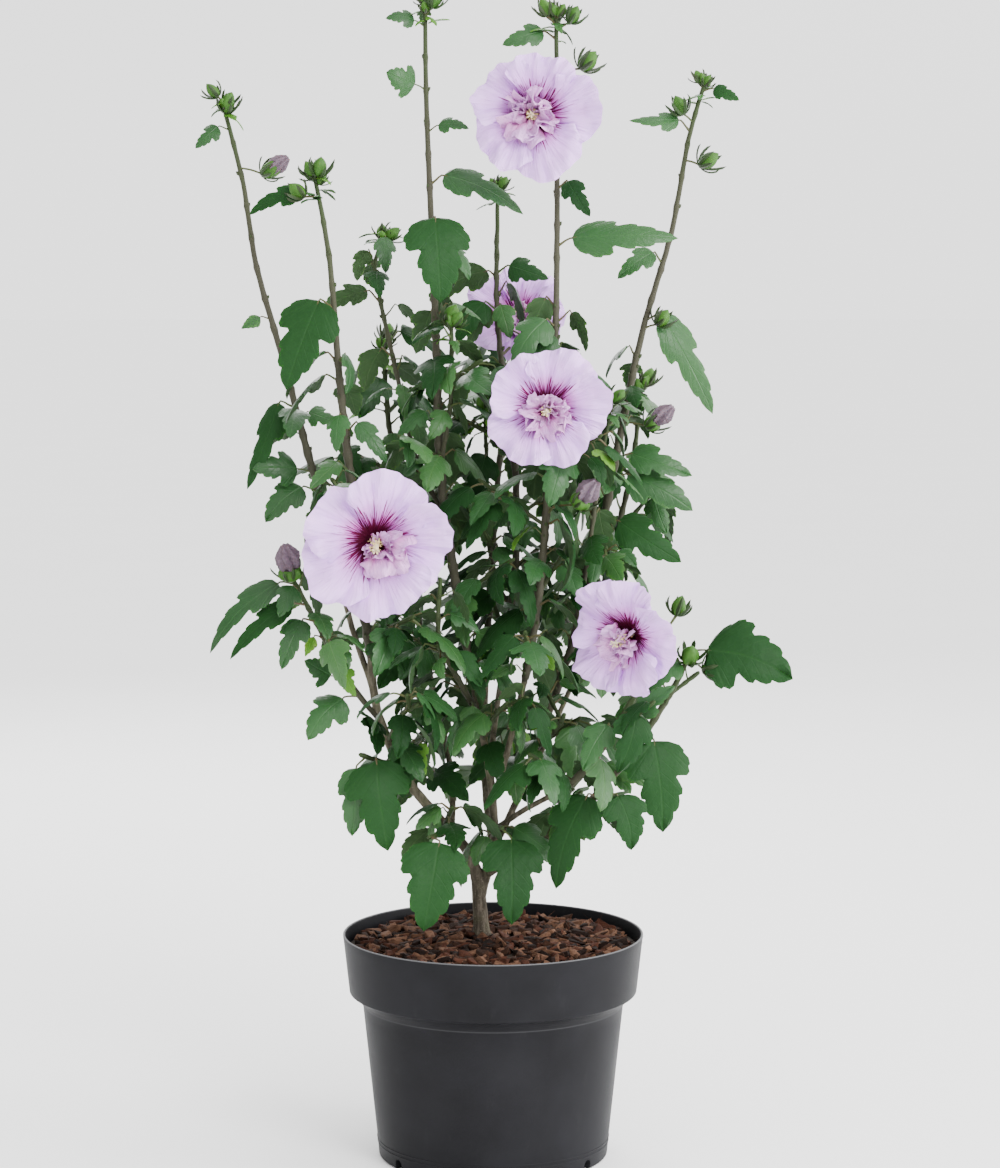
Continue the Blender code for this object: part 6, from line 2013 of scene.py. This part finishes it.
def make_leaves(masses):
    """Every leaf in its real outline, dealt its green by its size, chance and its height, which paints light and
    shade.
    """
    names = list(masses)
    draw = random.Random(LEAF_SEED)
    heaps = {name: Heap() for name, _ in LEAF_BANDS}
    stalks = Heap()
    for mass in masses.values():
        for leaf in mass.leaves:
            band = next(name for name, top in LEAF_BANDS if leaf.base.z < top)
            look = Look(draw, leaf.outline is LOBED_OUTLINE or leaf.length > LOBED_LENGTH)
            finish = pick_green(draw, leaf)
            tone = draw.random()
            if leaf.outline is PLAIN_OUTLINE and hides_open_place(leaf, look):
                continue
            blade(heaps[band], leaf, look, finish, leaf.length < PLAIN_LENGTH)
            petiole(stalks, leaf, tone)
    for name, heap in heaps.items():
        heap.make(name, LEAF_FINISHES, "foliage", names, SHARP_FOLIAGE)
    stalks.make("leaf_stalks", [STALK_FINISH], "foliage", names)


BARE_STEP = 27 * MM          # between the buds on a shoot above its last leaf


def make_shoots(masses):
    """Stems, side shoots and twigs."""
    heap = Heap()
    for mass in masses.values():
        for order, limb in enumerate(mass.shoots):
            bare = max(limb.scars, default=0.0) + BARE_STEP / limb.length
            scars = limb.scars + list(np.arange(bare, 0.96, BARE_STEP / limb.length))
            shoot(heap, limb, scars, 0.25 if order else 0.38, start_back=0 if order else 3 * MM)
            for index, scar in enumerate(scars):
                axil_bud(heap, limb, scar, GOLDEN_TURN * (index + order), (3.2 + 0.7 * (index % 3)) * MM)
        for twig in mass.twigs:
            shoot(heap, twig, twig.scars, 0.15, 6, 4 * MM)
    heap.make("shoots_and_twigs", [SHOOT_FINISH], "foliage", list(masses))


def make_buds(buds, masses):
    """Green buds, and the spent blooms that hang on among them."""
    heap, tufts = Heap(), Heap()
    draw = random.Random(BUD_SEED)
    for root, middle, way, length, width in buds:
        kind = spent_bloom if length >= SPENT_LENGTH else bud
        kind(heap, root, middle, way, length, width, draw.uniform(0.2, 0.8))
    for mass in masses.values():
        for limb in mass.shoots:
            if limb.path[-1].z > CLUSTER_HEIGHT:
                tip_cluster(heap, tufts, limb, draw)
    heap.make("buds_and_spent_blooms", [BUD_FINISH, STALK_FINISH, SPENT_FINISH, CLAW_FINISH], "foliage",
              list(masses))
    tufts.make("leaf_tufts", LEAF_FINISHES, "foliage", list(masses), SHARP_FOLIAGE)


def stigma(heap, path):
    """The five small knobs on short arms at the end of the column."""
    tip = path[-1]
    ahead = (path[-1] - path[-2]).normalized()
    for index in range(5):
        side = Matrix.Rotation(math.tau * index / 5, 3, ahead) @ ahead.orthogonal().normalized()
        end = tip + ahead * 3.0 * MM + side * 2.4 * MM
        arm = [tip - ahead * MM, tip + ahead * 1.4 * MM + side * 0.7 * MM, end, end + (ahead + side) * 0.6 * MM]
        heap.add(*round_tube(arm, [0.35 * MM, 0.3 * MM, 0.75 * MM, 0.3 * MM], 6), 4, tone=0.9)


def make_blooms(blooms):
    """Each bloom as one piece, and the pollen heads on its column as another."""
    tree = anther_tree()
    for index, (name, stalk, place, radius) in enumerate(blooms):
        heap = Heap()
        bloom(name, heap, stalk, place, radius, BLOOM_SEED + index)
        path = column_path(place, radius)
        count = len(path) - 1
        radii = [(3.1 - 1.1 * step / count) * MM * radius / (60 * MM) * (1.0 if step < count else 0.5)
                 for step in range(count + 1)]
        heap.add(*round_tube(path, radii, 12), 4, tone=0.6)
        stigma(heap, path)
        heap.make(name + "_petals",
                  [PETAL_FINISH, INNER_FINISH, BUD_FINISH, STALK_FINISH, COLUMN_FINISH, BACK_FINISH],
                  "petals", [name], SHARP_FOLIAGE)
        start = count // 3
        corners, faces = round_tube(path[start:], radii[start:], 12)
        mesh = run_tree(tree, mesh_of("column", corners, faces[1:-1]), density=210000.0, stalk_length=2.2 * MM,
                        head_size=0.75 * MM, seed=ANTHER_SEED + index, finish=ANTHER_FINISH)
        dress_object(name + "_anthers", mesh, [name])


# ---------------------------------------------------------------- stage

STAGE_REACH = 60.0
STAGE_DROP = 0.5 * MM        # the floor lies this far under the pot
# Lamps: name, place, aim, size, power.
LAMPS = (
    ("key", (1.5, -2.5, 2.3), (0, 0, 0.5), 1.4, 95.0),
    ("side", (2.2, -0.6, 0.8), (0, 0, 0.2), 0.9, 38.0),
    ("back", (-0.6, 2.2, 1.9), (0, 0, 0.6), 1.8, 50.0),
)
# The camera: its dip in degrees, lens and film height in millimetres, and the frame's width over its height.
CAMERA_DIP, LENS, FILM_HEIGHT, FRAME_SHAPE = 5.645, 93.98, 36.0, 1000 / 1168


def make_floor():
    """A pale floor, wide enough to reach its horizon."""
    mesh = mesh_of("floor", [(x * STAGE_REACH, y * STAGE_REACH, -STAGE_DROP)
                             for x, y in ((-1, -1), (1, -1), (1, 1), (-1, 1))], [(0, 1, 2, 3)])
    material, tree, place = new_finish("studio_paper", 1.0, Specular_IOR_Level=0.0)
    paper = ramp(tree, grain(tree, place, 3.0, 2.0), (0.3, (0.955, 0.955, 0.955)), (0.7, (0.970, 0.970, 0.970)))
    tree.links.new(paper, tree.nodes["Principled BSDF"].inputs["Base Color"])
    mesh.materials.append(material)
    linked("studio_floor", mesh)


def make_world():
    """A white world, brighter above the horizon and towards +X."""
    world = bpy.data.worlds.new("studio_world")
    world.use_nodes = True
    sky = world.node_tree
    heading = node(sky, "ShaderNodeSeparateXYZ", node(sky, "ShaderNodeTexCoord").outputs["Generated"])
    height = node(sky, "ShaderNodeMapRange", heading.outputs[2], 0.04, 0.30).outputs[0]
    sideways = times(sky, heading.outputs[0], height)
    level = node(sky, "ShaderNodeMapRange", sideways, -1.0, 1.0, 0.6, 3.9).outputs[0]
    sky.links.new(level, sky.nodes["Background"].inputs["Strength"])
    sky.nodes["Background"].inputs["Color"].default_value = (1.0, 1.0, 1.0, 1.0)
    bpy.context.scene.world = world


def make_stage():
    """Floor, world, soft lamps and the camera."""
    make_floor()
    make_world()
    for name, place, aim, size, power in LAMPS:
        light = bpy.data.lights.new(name, "AREA")
        light.shape = "DISK"
        light.size = size
        light.energy = power
        item = linked(name, light)
        item.location = place
        item.rotation_euler = (Vector(aim) - Vector(place)).to_track_quat("-Z", "Y").to_euler()
    camera = bpy.data.cameras.new("camera")
    camera.sensor_fit = "VERTICAL"
    camera.sensor_height = FILM_HEIGHT
    camera.sensor_width = FILM_HEIGHT * FRAME_SHAPE
    camera.lens = LENS
    item = linked("camera", camera)
    item.location = EYE
    item.rotation_euler = (math.radians(90 - CAMERA_DIP), 0.0, 0.0)
    bpy.context.scene.camera = item


def main():
    """Grows the plant, makes its pieces around the CAD frame, and sets the stage."""
    limbs = build_limbs()
    masses, blooms, buds = grow_plant(limbs)
    make_pot()
    for slot in frame["nodes"]["root_ball"].material_slots:
        slot.material = COMPOST_FINISH
    make_mulch_bed()
    make_chips()
    bark_object(limbs)
    make_shoots(masses)
    make_leaves(masses)
    make_buds(buds, masses)
    make_blooms(blooms)
    make_stage()


main()
